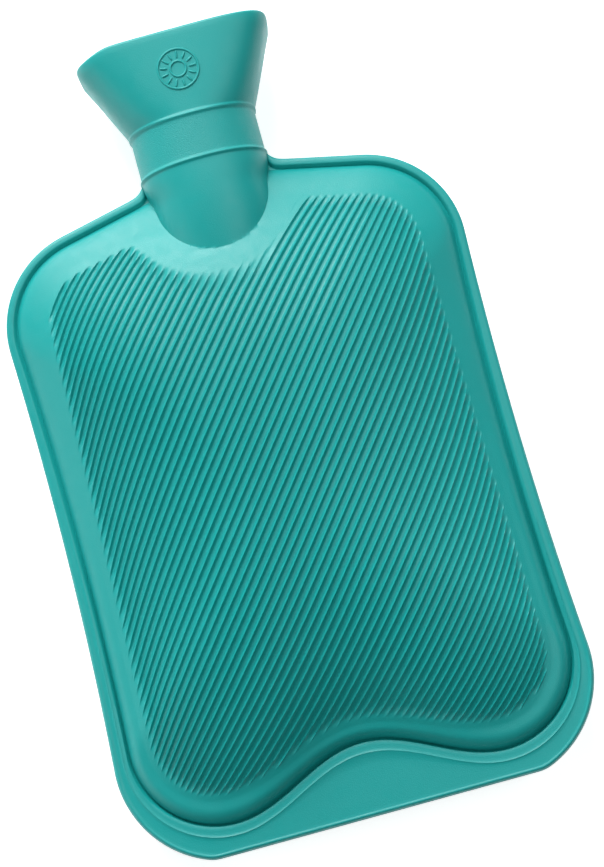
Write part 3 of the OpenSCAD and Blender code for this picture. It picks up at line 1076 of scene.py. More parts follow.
    def build(self) -> bpy.types.Object:
        """The closed outer skin of the body.

        The ribbed field is a grid along the ribs.  Rings around it carry on over the margin on
        the field's own columns, then over the rim on evenly spread ones, and over the back on
        fewer, laced together where the number of columns changes.

        Returns:
            The closed mesh object.
        """
        ribs, lines, stations = self.rib_grid()
        at = np.arange(lines * stations).reshape(lines, stations)
        loop = np.concatenate([at[:, 0], at[-1, 1:], at[-2::-1, -1], at[0, -2:0:-1]])
        border, parts = self.split_long(ribs[loop][:, :2])
        owner = np.repeat(np.arange(len(loop)), parts)
        angle = np.unwrap(np.arctan2(border[:, 1] - self.outline.middle_y, border[:, 0]))
        start = np.hypot(border[:, 0], border[:, 1] - self.outline.middle_y)
        n, m, k = len(border), self.front_columns, self.back_columns
        even, back_angle = (angle[0] + np.arange(count) * 2 * np.pi / count for count in (m, k))
        closed = np.append(angle, angle[0] + 2 * np.pi)
        even_start = np.interp(even, closed, np.append(start, start[0]))
        inner = self.front_rows(angle, start)[:self.fine_rows]
        outer = self.front_rows(even, even_start)[self.fine_rows:]
        outer = np.concatenate([outer, self.edge_rows(even)])
        back = self.back_rows(back_angle)
        middle = np.array([[0.0, self.outline.middle_y, self.outline.seam_z - self.crown_back]])
        rings = [part.reshape(-1, 3) for part in (inner, outer, back)]
        points = np.concatenate([ribs, *rings, middle])
        first = len(ribs)
        second = first + inner.shape[0] * n
        third = second + outer.shape[0] * m
        last = third + (back.shape[0] - 1) * k
        ring = np.arange(n)
        after = first + np.cumsum(parts) % n
        quads = np.concatenate([
            strips(lines, stations, False),
            strips(inner.shape[0], n, True, first),
            strips(outer.shape[0], m, True, second),
            strips(back.shape[0], k, True, third),
        ])
        fine_turn = (closed[:-1] + closed[1:]) / 2 - angle[0]
        even_turn = (np.arange(m) + 0.5) * 2 * np.pi / m
        triangles = np.concatenate([
            np.stack([loop[owner], first + (ring + 1) % n, first + ring], axis=1),
            np.stack([loop, np.roll(loop, -1), after], axis=1),
            lace(second - n + ring, second + np.arange(m), fine_turn),
            lace(third - m + np.arange(m), third + np.arange(k), even_turn),
            fan(last + np.arange(k), len(points) - 1),
        ])
        return solid("bottle_rubber", points, [quads, triangles])

    def water_space(self) -> bpy.types.Object:
        """The hollow for the water: both bulges drawn in by the wall.

        Returns:
            The closed mesh object.
        """
        line = self.outline
        angle = np.arange(self.hollow_columns) * 2 * np.pi / self.hollow_columns
        reach = line.bulge(angle) - self.web_in
        power = mix(self.side_power, self.end_power, np.sin(angle) ** 2)
        rows = []
        for u in self.hollow_front:
            x, y = self.polar(angle, u * reach)
            rise = (self.crown_front - self.wall) * (1 - u ** power)
            rows.append(np.stack([x, y, line.seam_z + rise], axis=1))
        for u in self.hollow_back:
            x, y = self.polar(angle, u * reach)
            bend = max(0.0, (u - self.back_flat) / (1 - self.back_flat)) ** self.back_power
            level = self.wall + (self.crown_back - self.wall) * bend
            rows.append(np.stack([x, y, np.full_like(x, level)], axis=1))
        tops = [[0.0, line.middle_y, line.seam_z + self.crown_front - self.wall],
                [0.0, line.middle_y, self.wall]]
        return tube("water_space", np.array(rows), tops)


@dataclass(frozen=True)
class Neck:
    """Neck, its domed root and the filling funnel, outside and inside."""

    outline: Outline
    body: Body
    depth: float = 44.0
    funnel_w: float = 87.0
    funnel_d: float = 46.0
    lip_t: float = 2.6
    root_len: float = 39.0
    neck_power: float = 2.2
    root_in: float = 2.2
    root_from: float = 2.0
    root_ease: float = 12.0
    funnel_power: float = 4.0
    flare_power: float = 0.7
    flare_most: float = 1.1
    bead_h: float = 0.7
    bead_w: float = 0.8
    dome_from: float = 17.5
    dome_len: float = 40.5
    slope_from: float = 2.0
    slope_more: float = 8.9
    dome_end: float = 0.97
    blend: float = 0.6
    sag_from: float = 24.0
    sag_drop: float = 3.0
    sag_in: float = 0.9
    sag_ease: float = 18.0
    sag_up: float = 16.0
    sag_up_ease: float = 20.0
    bead_reach: float = 2.0
    bead_step: float = 0.25
    root_more: float = 14.0
    root_step: float = 1.0
    ring_gap: float = 3.0
    ring_step: float = 1.5
    lip_turns: tuple[int, ...] = (0, 20, 40, 60, 80, 90)
    bore_low: float = 16.0
    bore_from: float = 12.0
    bore_in: float = 1.0
    bore_narrow: Pair = (2.0, 2.5)
    bore_deep_in: float = 10.0
    bore_overlap: float = 0.5
    seat_edge: float = 0.4
    seat_lift: float = 0.6
    funnel_rows: int = 22
    funnel_walls: Pair = (11.2, 5.6)
    wall_powers: Pair = (0.6, 0.8)
    mouth_past: float = 1.5
    mouth_from: float = 1.3
    mouth_bend: float = 0.4
    fillet_drop: float = 0.35
    dive_from: float = 0.3
    melt_from: float = 16.0
    melt_ease: float = 7.0
    lip_corner: float = 0.9
    lip_ease: float = 3.5
    columns: int = 160
    socket_d: float = 32.0
    socket_len: float = 23.0
    seat_rise: float = 5.0
    key_h: float = 1.2
    key_w: float = 2.0
    key_shares: Pair = (0.2, 0.65)

    @property
    def y_seat(self) -> float:
        """Level of the seat that the stopper's washer presses on."""
        return self.outline.y_funnel + self.seat_rise

    @property
    def y_socket(self) -> float:
        """Level of the socket's lower end."""
        return self.y_seat - self.socket_len

    def flare(self, y: Array) -> Array:
        """Share of the way from the upper bead to the lip, 0 below the bead."""
        return np.clip((y - self.outline.y_funnel) / self.outline.funnel_len, 0, self.flare_most)

    def bead(self, y: Array) -> Array:
        """The two neck beads, each a bell-shaped swelling."""
        levels = (self.outline.y_neck, self.outline.y_funnel)
        return self.bead_h * sum(np.exp(-((y - at) / self.bead_w) ** 2) for at in levels)

    def dome(self, y: Array) -> Array:
        """Share of the full width left along the root's domed end: sqrt(1 - t^2)."""
        t = np.clip((self.outline.y_neck - self.dome_from - y) / self.dome_len, 0, self.dome_end)
        return np.sqrt(1 - t ** 2)

    def slope(self, y: Array) -> Array:
        """Share of the full depth left along the root, which starts to fall off sooner.

        It is sqrt(1 - t^2) as in the dome, over a greater length.

        Args:
            y: level along the neck.

        Returns:
            The share, 1 above the root.
        """
        length = self.dome_from + self.dome_len + self.slope_more - self.slope_from
        t = np.clip((self.outline.y_neck - self.slope_from - y) / length, 0, self.dome_end)
        return np.sqrt(1 - t ** 2)

    def half_width(self, y: Array) -> Array:
        """Half width of the neck at its seam: the funnel flares evenly, the root draws in.

        Args:
            y: level along the neck.

        Returns:
            The half width.
        """
        line = self.outline
        below = np.maximum(line.y_neck - self.root_from - y, 0)
        root = self.root_in * smooth(below / self.root_ease)
        flared = line.neck_w / 2 + (self.funnel_w - line.neck_w) / 2 * self.flare(y) - root
        return flared * self.dome(y) + self.bead(y)

    def half_depth(self, y: Array) -> Array:
        """Half depth of the neck, which is rounded off at the root's end."""
        flared = self.depth / 2 + (self.funnel_d - self.depth) / 2 * self.flare(y)
        return flared * self.slope(y) + self.bead(y)

    def power(self, y: Array) -> Array:
        """Squareness of the section, which grows over the funnel up to the lip."""
        more = self.funnel_power - self.neck_power
        return self.neck_power + more * self.flare(y) ** self.flare_power

    def front_z(self, x: Array, y: Array) -> Array:
        """Height of the neck's front over its own seam at a plan position.

        Args:
            x: place across.
            y: place along.

        Returns:
            The height over the seam plane.
        """
        p = self.power(y)
        left = np.clip(1 - np.abs(x / self.half_width(y)) ** p, 0, 1)
        return self.half_depth(y) * left ** (1 / p)

    def melt(self, x: Array, y: Array, z: Array) -> Array:
        """Height of the root where it melts into a bulge through a small fillet.

        With g the height of the neck over the bulge, the fillet is (g + sqrt(g^2 + k^2)) / 2.
        Further out the root dives under the bulge, so that the two skins cross once.

        Args:
            x: place across.
            y: place along.
            z: height of the neck over the seam plane, negative on the back.

        Returns:
            The new height over the seam plane.
        """
        seam = self.outline.seam_z
        bulge = np.where(z >= 0, self.body.skin_z(x, y) - seam, seam - self.body.back_z(x, y))
        height = np.abs(z)
        gap = height - bulge
        k = self.blend
        fillet = 0.5 * (gap + np.sqrt(gap ** 2 + k ** 2))
        fillet = fillet - self.fillet_drop * k * np.exp(-np.maximum(gap, 0) / k)
        dive = np.maximum(-gap - self.dive_from * k, 0)
        melted = bulge + fillet - dive
        share = 1 - smooth((y - self.outline.y_neck + self.melt_from) / self.melt_ease)
        return np.sign(z) * mix(height, np.maximum(melted, 0), share * (height > TINY))

    def sag(self, x: Array, y: Array) -> tuple[Array, Array]:
        """The lip's left end droops a little, as soft rubber does.

        Args:
            x: place across.
            y: place along.

        Returns:
            The two places after the droop.
        """
        up = smooth((y - self.outline.y_funnel - self.sag_up) / self.sag_up_ease)
        share = smooth((-x - self.sag_from) / self.sag_ease) * up
        return x + self.sag_in * share, y - self.sag_drop * share

    def rows(self) -> Array:
        """Levels of the outside rings, closer together over the two beads.

        Returns:
            The levels, upwards.
        """
        line = self.outline
        reach, gap, step = self.bead_reach, self.ring_gap, self.ring_step
        over = np.arange(-reach, reach + self.bead_step / 2, self.bead_step)
        low = line.y_neck - self.root_len - self.root_more
        root = np.arange(low, line.y_neck - reach, self.root_step)
        band = np.arange(line.y_neck + gap, line.y_funnel - reach, step)
        funnel = np.arange(line.y_funnel + gap, line.y_lip - self.lip_t, step)
        return np.concatenate([root, line.y_neck + over, band, line.y_funnel + over, funnel])

    def outside(self) -> bpy.types.Object:
        """The closed outer skin of the neck and funnel, with a rounded lip.

        Returns:
            The closed mesh object.
        """
        line = self.outline
        levels = self.rows()
        t = np.arange(self.columns) * 2 * np.pi / self.columns
        round_r = self.lip_t / 2
        turn = np.radians(np.array(self.lip_turns))
        lip_y = line.y_lip - round_r + round_r * np.sin(turn)
        level = np.concatenate([levels, lip_y])[:, None]
        inward = np.concatenate([0 * levels, round_r * (1 - np.cos(turn))])[:, None]
        corner = self.lip_corner * smooth((level - line.y_lip + self.lip_ease) / self.lip_ease)
        a = self.half_width(level) - inward - corner
        b = self.half_depth(level) - inward
        x, z = oval(a, b, self.power(level), t[None, :])
        y = np.broadcast_to(level, x.shape)
        z = self.melt(x, y, z)
        x, y = self.sag(x, y)
        ends = [[0.0, levels[0] - 1, line.seam_z], [0.0, line.y_lip, line.seam_z]]
        return tube("neck", np.stack([x, y, line.seam_z + z], axis=-1), ends)

    def inside(self) -> bpy.types.Object:
        """The bore from the water space to the socket, the seat and the funnel's inside.

        Returns:
            The closed mesh object.
        """
        line = self.outline
        r = self.socket_d / 2
        seat = self.y_seat
        low = line.y_neck - self.root_len - self.bore_low
        bore = r - self.bore_in
        start = line.y_neck - self.bore_from
        y = np.array([low, start, self.y_socket + self.bore_overlap, seat - self.bore_in])
        a = np.array([r - self.bore_narrow[0], bore, bore, bore])
        b = np.array([self.depth / 2 - self.bore_deep_in, r - self.bore_narrow[1], bore, bore])
        p = np.full(len(y), 2.0)
        up = np.linspace(0, 1, self.funnel_rows)
        level = mix(seat + self.seat_lift, line.y_lip + self.mouth_past, up)
        t = self.flare(level)
        share = np.clip((level - seat) / (line.y_lip - seat), 0, 1)
        sides, faces = (mix(thick, self.lip_t, share ** power)
                        for thick, power in zip(self.funnel_walls, self.wall_powers))
        mouth = np.maximum(level - line.y_lip + self.mouth_from, 0) ** 2 * self.mouth_bend
        y = np.concatenate([y, level])
        least = r - self.seat_edge
        a = np.concatenate([a, np.maximum(self.half_width(level) - sides, least) + mouth])
        b = np.concatenate([b, np.maximum(self.half_depth(level) - faces, least) + mouth])
        p = np.concatenate([p, mix(2.0, self.funnel_power, t)])
        turn = np.arange(self.columns) * 2 * np.pi / self.columns
        x, z = oval(a[:, None], b[:, None], p[:, None], turn[None, :])
        x, y_bent = self.sag(x, np.broadcast_to(y[:, None], x.shape))
        ends = [[0.0, y[0], line.seam_z], [0.0, y[-1], line.seam_z]]
        return tube("neck_inside", np.stack([x, y_bent, line.seam_z + z], axis=-1), ends)

    def socket_side(self) -> Array:
        """The socket's outer side with its two keying ribs.

        Returns:
            Radius and level of each point, upwards.
        """
        r, y, n = self.socket_d / 2, self.y_socket, self.socket_len
        out = r + self.key_h
        points = [[r, y]]
        for foot in (y + n * share for share in self.key_shares):
            points += [[r, foot], [out, foot], [out, foot + self.key_w], [r, foot + self.key_w]]
        return np.array([*points, [r, y + n]])

    def pocket(self) -> bpy.types.Object:
        """Room in the rubber for the socket and its keying ribs."""
        profile = np.array([[0.0, self.y_socket], *self.socket_side(), [0.0, self.y_seat]])
        return lathe("socket_pocket", profile, self.outline.seam_z)


@dataclass(frozen=True)
class Thread:
    """Coarse right-hand thread that stopper and socket share, so that their ridges stay in step."""

    pitch: float = 4.0
    height: float = 1.1
    start_y: float = 118.5
    sharpness: float = 1.6

    def ridge(self, y: Array, columns: int) -> Array:
        """Height of the ridge at each level and step around, 1 on its crest.

        The crest climbs by one pitch in one turn: its shape is a bell of y / pitch - turn.

        Args:
            y: levels along the axis.
            columns: steps around.

        Returns:
            The height at each level by each step.
        """
        turn = np.arange(columns) / columns
        phase = (y[:, None] - self.start_y) / self.pitch - turn[None, :]
        return (0.5 + 0.5 * np.cos(2 * np.pi * phase)) ** self.sharpness


@dataclass(frozen=True)
class Emblem:
    """Generic raised ring with short bars around a smaller plain ring, on the funnel's front."""

    neck: Neck
    x: float = 0.8
    share: float = 0.52
    radius: float = 8.5
    small_radius: float = 3.3
    bar_from: float = 4.5
    bar_to: float = 7.7
    bars: int = 13
    half_line: float = 0.5
    height: float = 0.5
    bar_end: float = 0.45

    @property
    def y(self) -> float:
        """Level of the emblem's middle."""
        line = self.neck.outline
        return line.y_funnel + line.funnel_len * self.share

    def bent(self, x: Array, y: Array, lift: Array) -> Array:
        """Points laid on the funnel's front and lifted off it."""
        z = self.neck.outline.seam_z + self.neck.front_z(x, y) + lift
        return np.stack([x, y, z], axis=-1)

    def ring(self, name: str, radius: float) -> bpy.types.Object:
        """A half-round line along a circle, sunk to its middle in the rubber.

        Args:
            name: the object's name.
            radius: radius of the circle.

        Returns:
            The closed mesh object.
        """
        around, section = 96, 12
        t = np.arange(around)[:, None] * 2 * np.pi / around
        s = np.arange(section)[None, :] * 2 * np.pi / section
        r = radius + self.half_line * np.cos(s)
        lift = self.height * np.sin(s) + 0 * t
        return hoop(name, self.bent(self.x + r * np.cos(t), self.y + r * np.sin(t), lift))

    def bar(self, index: int) -> bpy.types.Object:
        """A short half-round bar that points away from the emblem's middle, with round ends.

        Args:
            index: the bar's number around the emblem.

        Returns:
            The closed mesh object.
        """
        along, section = 12, 10
        t = np.linspace(0, np.pi, along + 2)[1:-1, None]
        s = np.arange(section)[None, :] * 2 * np.pi / section
        half = (self.bar_to - self.bar_from) / 2
        swell = np.sin(t) ** self.bar_end
        u = (self.bar_from + self.bar_to) / 2 - half * np.cos(t) + 0 * s
        v = self.half_line * swell * np.cos(s)
        lift = self.height * swell * np.sin(s)
        turn = 2 * np.pi * index / self.bars
        x = self.x + u * np.cos(turn) - v * np.sin(turn)
        y = self.y + u * np.sin(turn) + v * np.cos(turn)
        ends = np.array([self.bar_from, self.bar_to])
        tips = self.bent(self.x + ends * np.cos(turn), self.y + ends * np.sin(turn), 0 * ends)
        return tube(f"bar_{index}", self.bent(x, y, lift), tips)

    def parts(self) -> list[bpy.types.Object]:
        """All raised lines of the emblem."""
        rings = [self.ring("outer_ring", self.radius), self.ring("inner_ring", self.small_radius)]
        return rings + [self.bar(index) for index in range(self.bars)]


@dataclass(frozen=True)
class Wiring:
    """The nodes of one material or world, and the links between them."""

    tree: bpy.types.NodeTree

    def add(self, kind: str) -> bpy.types.Node:
        """A new node."""
        return self.tree.nodes.new(kind)

    def link(self, source: Socket, target: Socket) -> None:
        """Joins an output to an input."""
        self.tree.links.new(source, target)

    def noise(self, place: Socket, scale: float, detail: float) -> Socket:
        """Noise between 0 and 1.

        Args:
            place: position that the noise is read at.
            scale: cycles per metre.
            detail: number of finer layers.

        Returns:
            The node's output.
        """
        node = self.add("ShaderNodeTexNoise")
        node.inputs["Scale"].default_value = scale
        node.inputs["Detail"].default_value = detail
        self.link(place, node.inputs["Vector"])
        return node.outputs[0]

    def ramp(self, value: Socket, span: Pair, result: Pair) -> Socket:
        """A value's range carried over to another, and held outside.

        Args:
            value: the value.
            span: its range.
            result: what the two ends of the range become.

        Returns:
            The node's output.
        """
        node = self.add("ShaderNodeMapRange")
        for slot, number in zip(("From Min", "From Max", "To Min", "To Max"), (*span, *result)):
            node.inputs[slot].default_value = number
        self.link(value, node.inputs["Value"])
        return node.outputs["Result"]

    def calculate(self, how: str, a: Socket, b: Socket) -> Socket:
        """Two values combined by one arithmetic step.

        Args:
            how: the step's name.
            a: first value.
            b: second value.

        Returns:
            The node's output.
        """
        node = self.add("ShaderNodeMath")
        node.operation = how
        self.link(a, node.inputs[0])
        self.link(b, node.inputs[1])
        return node.outputs[0]

    def tint(self, shader: bpy.types.Node, tone: Socket, deep: Triple, light: Triple) -> None:
        """Colours a shader between two tones.

        Args:
            shader: the material's shader.
            tone: share of the light tone.
            deep: the deep tone.
            light: the light tone.
        """
        colour = self.add("ShaderNodeMix")
        colour.data_type = "RGBA"
        colour.inputs[6].default_value = (*deep, 1)
        colour.inputs[7].default_value = (*light, 1)
        self.link(tone, colour.inputs[0])
        self.link(colour.outputs[2], shader.inputs["Base Color"])

    def grain(self, shader: bpy.types.Node, height: Socket, depth: float) -> None:
        """Gives a shader a fine relief.

        Args:
            shader: the material's shader.
            height: relief at each place.
            depth: distance that a height of 1 stands for, in metres.
        """
        bump = self.add("ShaderNodeBump")
        bump.inputs["Distance"].default_value = depth
        self.link(height, bump.inputs["Height"])
        self.link(bump.outputs[0], shader.inputs["Normal"])


def new_material(name: str) -> tuple[bpy.types.Material, Wiring, bpy.types.Node]:
    """A material with its nodes.

    Args:
        name: the material's name.

    Returns:
        The material, its wiring and its shader.
    """
    material = bpy.data.materials.new(name)
    material.use_nodes = True
    return material, Wiring(material.node_tree), material.node_tree.nodes["Principled BSDF"]


@dataclass(frozen=True)
class Rubber:
    """Teal moulded rubber: semi-matte, finely grained, a little uneven in tone."""

    name: str = "teal_rubber"
    light: Triple = (0.009, 0.420, 0.404)
    deep: Triple = (0.007, 0.375, 0.359)
    roughness: Pair = (0.40, 0.50)
    shine: float = 0.52
    tone_scale: float = 22.0
    patch_scale: float = 198.0
    grain_scale: float = 2600.0
    grain_depth: float = 0.00008
    band_grain: float = 2.8
    band_levels: Pair = (0.111, 0.130)
    band_ease: float = 0.001

    def make(self) -> bpy.types.Material:
        """The finished material, whose grain is coarser on the band between the neck's beads.

        Returns:
            The material.
        """
        material, wiring, shader = new_material(self.name)
        place = wiring.add("ShaderNodeTexCoord").outputs["Object"]
        wiring.tint(shader, wiring.noise(place, self.tone_scale, 3.0), self.deep, self.light)
        patchy = wiring.noise(place, self.patch_scale, 2.0)
        wiring.link(wiring.ramp(patchy, NOISE_SPAN, self.roughness), shader.inputs["Roughness"])
        split = wiring.add("ShaderNodeSeparateXYZ")
        wiring.link(place, split.inputs[0])
        low, high = self.band_levels
        ease = self.band_ease
        rise = wiring.ramp(split.outputs["Y"], (low - ease, low + ease), (0.0, 1.0))
        fall = wiring.ramp(split.outputs["Y"], (high - ease, high + ease), (1.0, 0.0))
        inside = wiring.calculate("MULTIPLY", rise, fall)
        amount = wiring.ramp(inside, (0.0, 1.0), (1.0, self.band_grain))
        grain = wiring.noise(place, self.grain_scale, 2.0)
        wiring.grain(shader, wiring.calculate("MULTIPLY", grain, amount), self.grain_depth)
        shader.inputs["Specular IOR Level"].default_value = self.shine
        return material


@dataclass(frozen=True)
class Moulded:
    """Plain moulded plastic or rubber for the stopper, its washer and the socket."""

    name: str
    light: Triple
    deep: Triple
    roughness: Pair
    tone_scale: float = 120.0
    grain_scale: float = 1500.0
    grain_depth: float = 0.00004

    def make(self) -> bpy.types.Material:
        """The finished material.

        Returns:
            The material.
        """
        material, wiring, shader = new_material(self.name)
        place = wiring.add("ShaderNodeTexCoord").outputs["Object"]
        tone = wiring.noise(place, self.tone_scale, 2.0)
        wiring.tint(shader, tone, self.deep, self.light)
        wiring.link(wiring.ramp(tone, NOISE_SPAN, self.roughness), shader.inputs["Roughness"])
        wiring.grain(shader, wiring.noise(place, self.grain_scale, 2.0), self.grain_depth)
        return material


def dress(
    piece: bpy.types.Object, look: Rubber | Moulded, body: str, node: str, crease: float
) -> bpy.types.Object:
    """Finishes a piece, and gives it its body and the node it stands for.

    Args:
        piece: the piece's object.
        look: its finish.
        body: name of the body that it rides on.
        node: name of the node that it replaces.
        crease: turn in degrees from which an edge stays sharp.

    Returns:
        The same object.
    """
    ease_edges(piece, crease)
    piece.data.materials.clear()
    piece.data.materials.append(look.make())
    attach(piece, body)
    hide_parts(node)
    return piece


@dataclass(frozen=True)
class Bottle:
    """The rubber bottle, moulded in one piece."""

    body: Body
    neck: Neck
    emblem: Emblem
    finish: Rubber = Rubber()
    crease: float = 42.0

    def build(self) -> bpy.types.Object:
        """Body, neck and emblem in one skin, hollowed for the water, the funnel and the socket.

        Returns:
            The piece.
        """
        piece = self.body.build()
        combine(piece, self.neck.outside(), Join.ADD)
        for part in self.emblem.parts():
            combine(piece, part, Join.ADD)
        for hollow in (self.body.water_space(), self.neck.inside(), self.neck.pocket()):
            combine(piece, hollow, Join.CUT)
        return dress(piece, self.finish, "bottle", "bottle", self.crease)


@dataclass(frozen=True)
class Closure:
    """Threaded socket, stopper and washer, on the neck's axis."""

    neck: Neck
    thread: Thread = Thread()
    shank_d: float = 23.0
    thread_gap: float = 0.3
    shank_len: float = 19.0
    shank_bore: float = 16.0
    flange_d: float = 29.0
    flange_t: float = 3.0
    grip_w: float = 26.0
    grip_h: float = 20.0
    grip_t: float = 5.0
    hub_d: float = 15.0
    washer_t: float = 2.5
    washer_d: float = 28.0
    columns: int = 120
    crease: float = 35.0
    round_edge: float = 0.5
    washer_edge: float = 0.35
    grip_corner: float = 4.0
    grip_dish: float = 0.78
    hub_share: float = 0.35
    root_gap: float = 0.1
    plastic: Moulded = Moulded(
        "stopper_plastic", (0.80, 0.81, 0.78), (0.72, 0.73, 0.70), (0.34, 0.44))
    socket_plastic: Moulded = Moulded(
        "socket_plastic", (0.80, 0.81, 0.78), (0.72, 0.73, 0.70), (0.38, 0.48))
    washer_rubber: Moulded = Moulded(
        "washer_rubber", (0.028, 0.030, 0.031), (0.020, 0.021, 0.022), (0.55, 0.68))

    @property
    def axis_z(self) -> float:
        """Height of the neck's axis."""
        return self.neck.outline.seam_z

    @property
    def y_flange(self) -> float:
        """Level of the flange's underside, on the washer."""
        return self.neck.y_seat + self.washer_t

    def socket(self) -> bpy.types.Object:
        """Socket with keying ribs outside and the thread inside.

        Returns:
            The piece.
        """
        y0, y1 = self.neck.y_socket, self.neck.y_seat
        bore = self.shank_d / 2 + self.thread_gap
        inner_y = np.linspace(y1, y0, 84)
        inner = np.stack([np.full_like(inner_y, bore), inner_y], axis=1)
        outer = self.neck.socket_side()
        profile = np.concatenate([outer, inner])
        ridge = self.thread.ridge(inner_y, self.columns)
        fade = smooth((inner_y - y0) / 2) * smooth((y1 - inner_y) / 2)
        swell = np.zeros((len(profile), self.columns))
        swell[len(outer):] = -self.thread.height * (1 - ridge) * fade[:, None]
        piece = lathe("neck_socket_threaded", profile, self.axis_z, self.columns, swell, True)
        look = self.socket_plastic
        return dress(piece, look, "bottle", "neck_socket", self.crease)

    def washer(self) -> bpy.types.Object:
        """Flat washer with rounded corners.

        Returns:
            The piece.
        """
        r0, r1 = self.shank_d / 2 + self.thread_gap, self.washer_d / 2
        y0, y1, c = self.neck.y_seat, self.y_flange, self.washer_edge
        profile = np.array([[r0, y0], [r1 - c, y0], [r1 - c * 0.3, y0 + c * 0.3], [r1, y0 + c],
                            [r1, y1 - c], [r1 - c * 0.3, y1 - c * 0.3], [r1 - c, y1], [r0, y1]])
        piece = lathe("washer_ring", profile, self.axis_z, self.columns, None, True)
        look = self.washer_rubber
        return dress(piece, look, "washer", "stopper_washer", self.crease)

    def stopper(self) -> bpy.types.Object:
        """Hollow threaded shank, flange, boss and wing grip.

        Returns:
            The piece.
        """
        under = self.y_flange
        y0 = under - self.shank_len
        top = under + self.flange_t
        hub_top = top + self.grip_h * self.hub_share
        bore, shank = self.shank_bore / 2, self.shank_d / 2
        root = shank - self.thread.height - self.root_gap
        threaded = np.linspace(y0 + 0.6, under - 0.4, 66)
        flange, hub, c = self.flange_d / 2, self.hub_d / 2, self.round_edge
        head = [
            [0, under - 1], [bore - c, under - 1], [bore, under - 1 - c],
            [bore, y0 + c], [bore + c, y0], [root - c, y0],
        ]
        shaft = np.stack([np.full_like(threaded, root), threaded], axis=1)
        tail = [
            [root, under - 0.02], [flange - c, under], [flange - c * 0.3, under + c * 0.3],
            [flange, under + c], [flange, top - c], [flange - c * 0.3, top - c * 0.3],
            [flange - c, top], [hub + 1.2, top], [hub + 0.35, top + 0.35], [hub, top + 1.2],
            [hub - 0.2, hub_top - 1], [hub - 0.6, hub_top - 0.25], [hub - 1.4, hub_top],
            [0, hub_top],
        ]
        profile = np.concatenate([head, shaft, tail])
        fade = smooth((threaded - threaded[0]) / 2) * smooth((threaded[-1] - threaded) / 3)
        swell = np.zeros((len(profile), self.columns))
        ridge = self.thread.ridge(threaded, self.columns)
        swell[len(head):len(head) + len(threaded)] = self.thread.height * ridge * fade[:, None]
        piece = lathe("stopper_plug", profile, self.axis_z, self.columns, swell)
        combine(piece, self.grip(top), Join.ADD)
        return dress(piece, self.plastic, "stopper", "stopper", self.crease)

    def grip(self, foot: float) -> bpy.types.Object:
        """Wing grip: a plate with a waist at its foot, round corners and a shallow dish each side.

        Its outline is shrunk towards the middle row by row; the height over the middle plane is
        the plate's half thickness, rounded down at the border and dished inside it.

        Args:
            foot: level that the grip stands on.

        Returns:
            The closed mesh object.
        """
        w, h, corner = self.grip_w / 2, self.grip_h, self.grip_corner
        right = np.concatenate([
            [[0, -1.5], [w * 0.72, -1.5], [w * 0.72, 1.5], [w, h * 0.45]],
            arc(w - corner, h - corner, corner, 0, 90, 12),
            [[0, h]],
        ])
        right = evenly(right, 1.2)
        outline = np.concatenate([right, (right * [-1, 1])[-2:0:-1]])
        middle = np.array([0.0, h * 0.5])
        half = self.grip_t / 2
        turn = np.radians(np.array([0, 25, 50, 75, 90]))
        scale = np.concatenate([1 - 0.09 * (1 - np.cos(turn)), [0.84, 0.78, 0.7, 0.5, 0.25]])
        dished = [1.0, 0.9, 0.8, self.grip_dish, self.grip_dish]
        height = half * np.concatenate([np.sin(turn), dished])
        front = [(s, z) for s, z in zip(scale, height)]
        back = [(s, -z) for s, z in zip(scale[:0:-1], height[:0:-1])]
        rows = []
        for s, z in back + front:
            flat = middle + (outline - middle) * s
            level = np.full(len(flat), self.axis_z + z)
            rows.append(np.stack([flat[:, 0], foot + flat[:, 1], level], axis=1))
        dip = half * self.grip_dish
        tips = [[0.0, foot + middle[1], self.axis_z + side * dip] for side in (-1, 1)]
        return tube("grip", np.array(rows), tips)


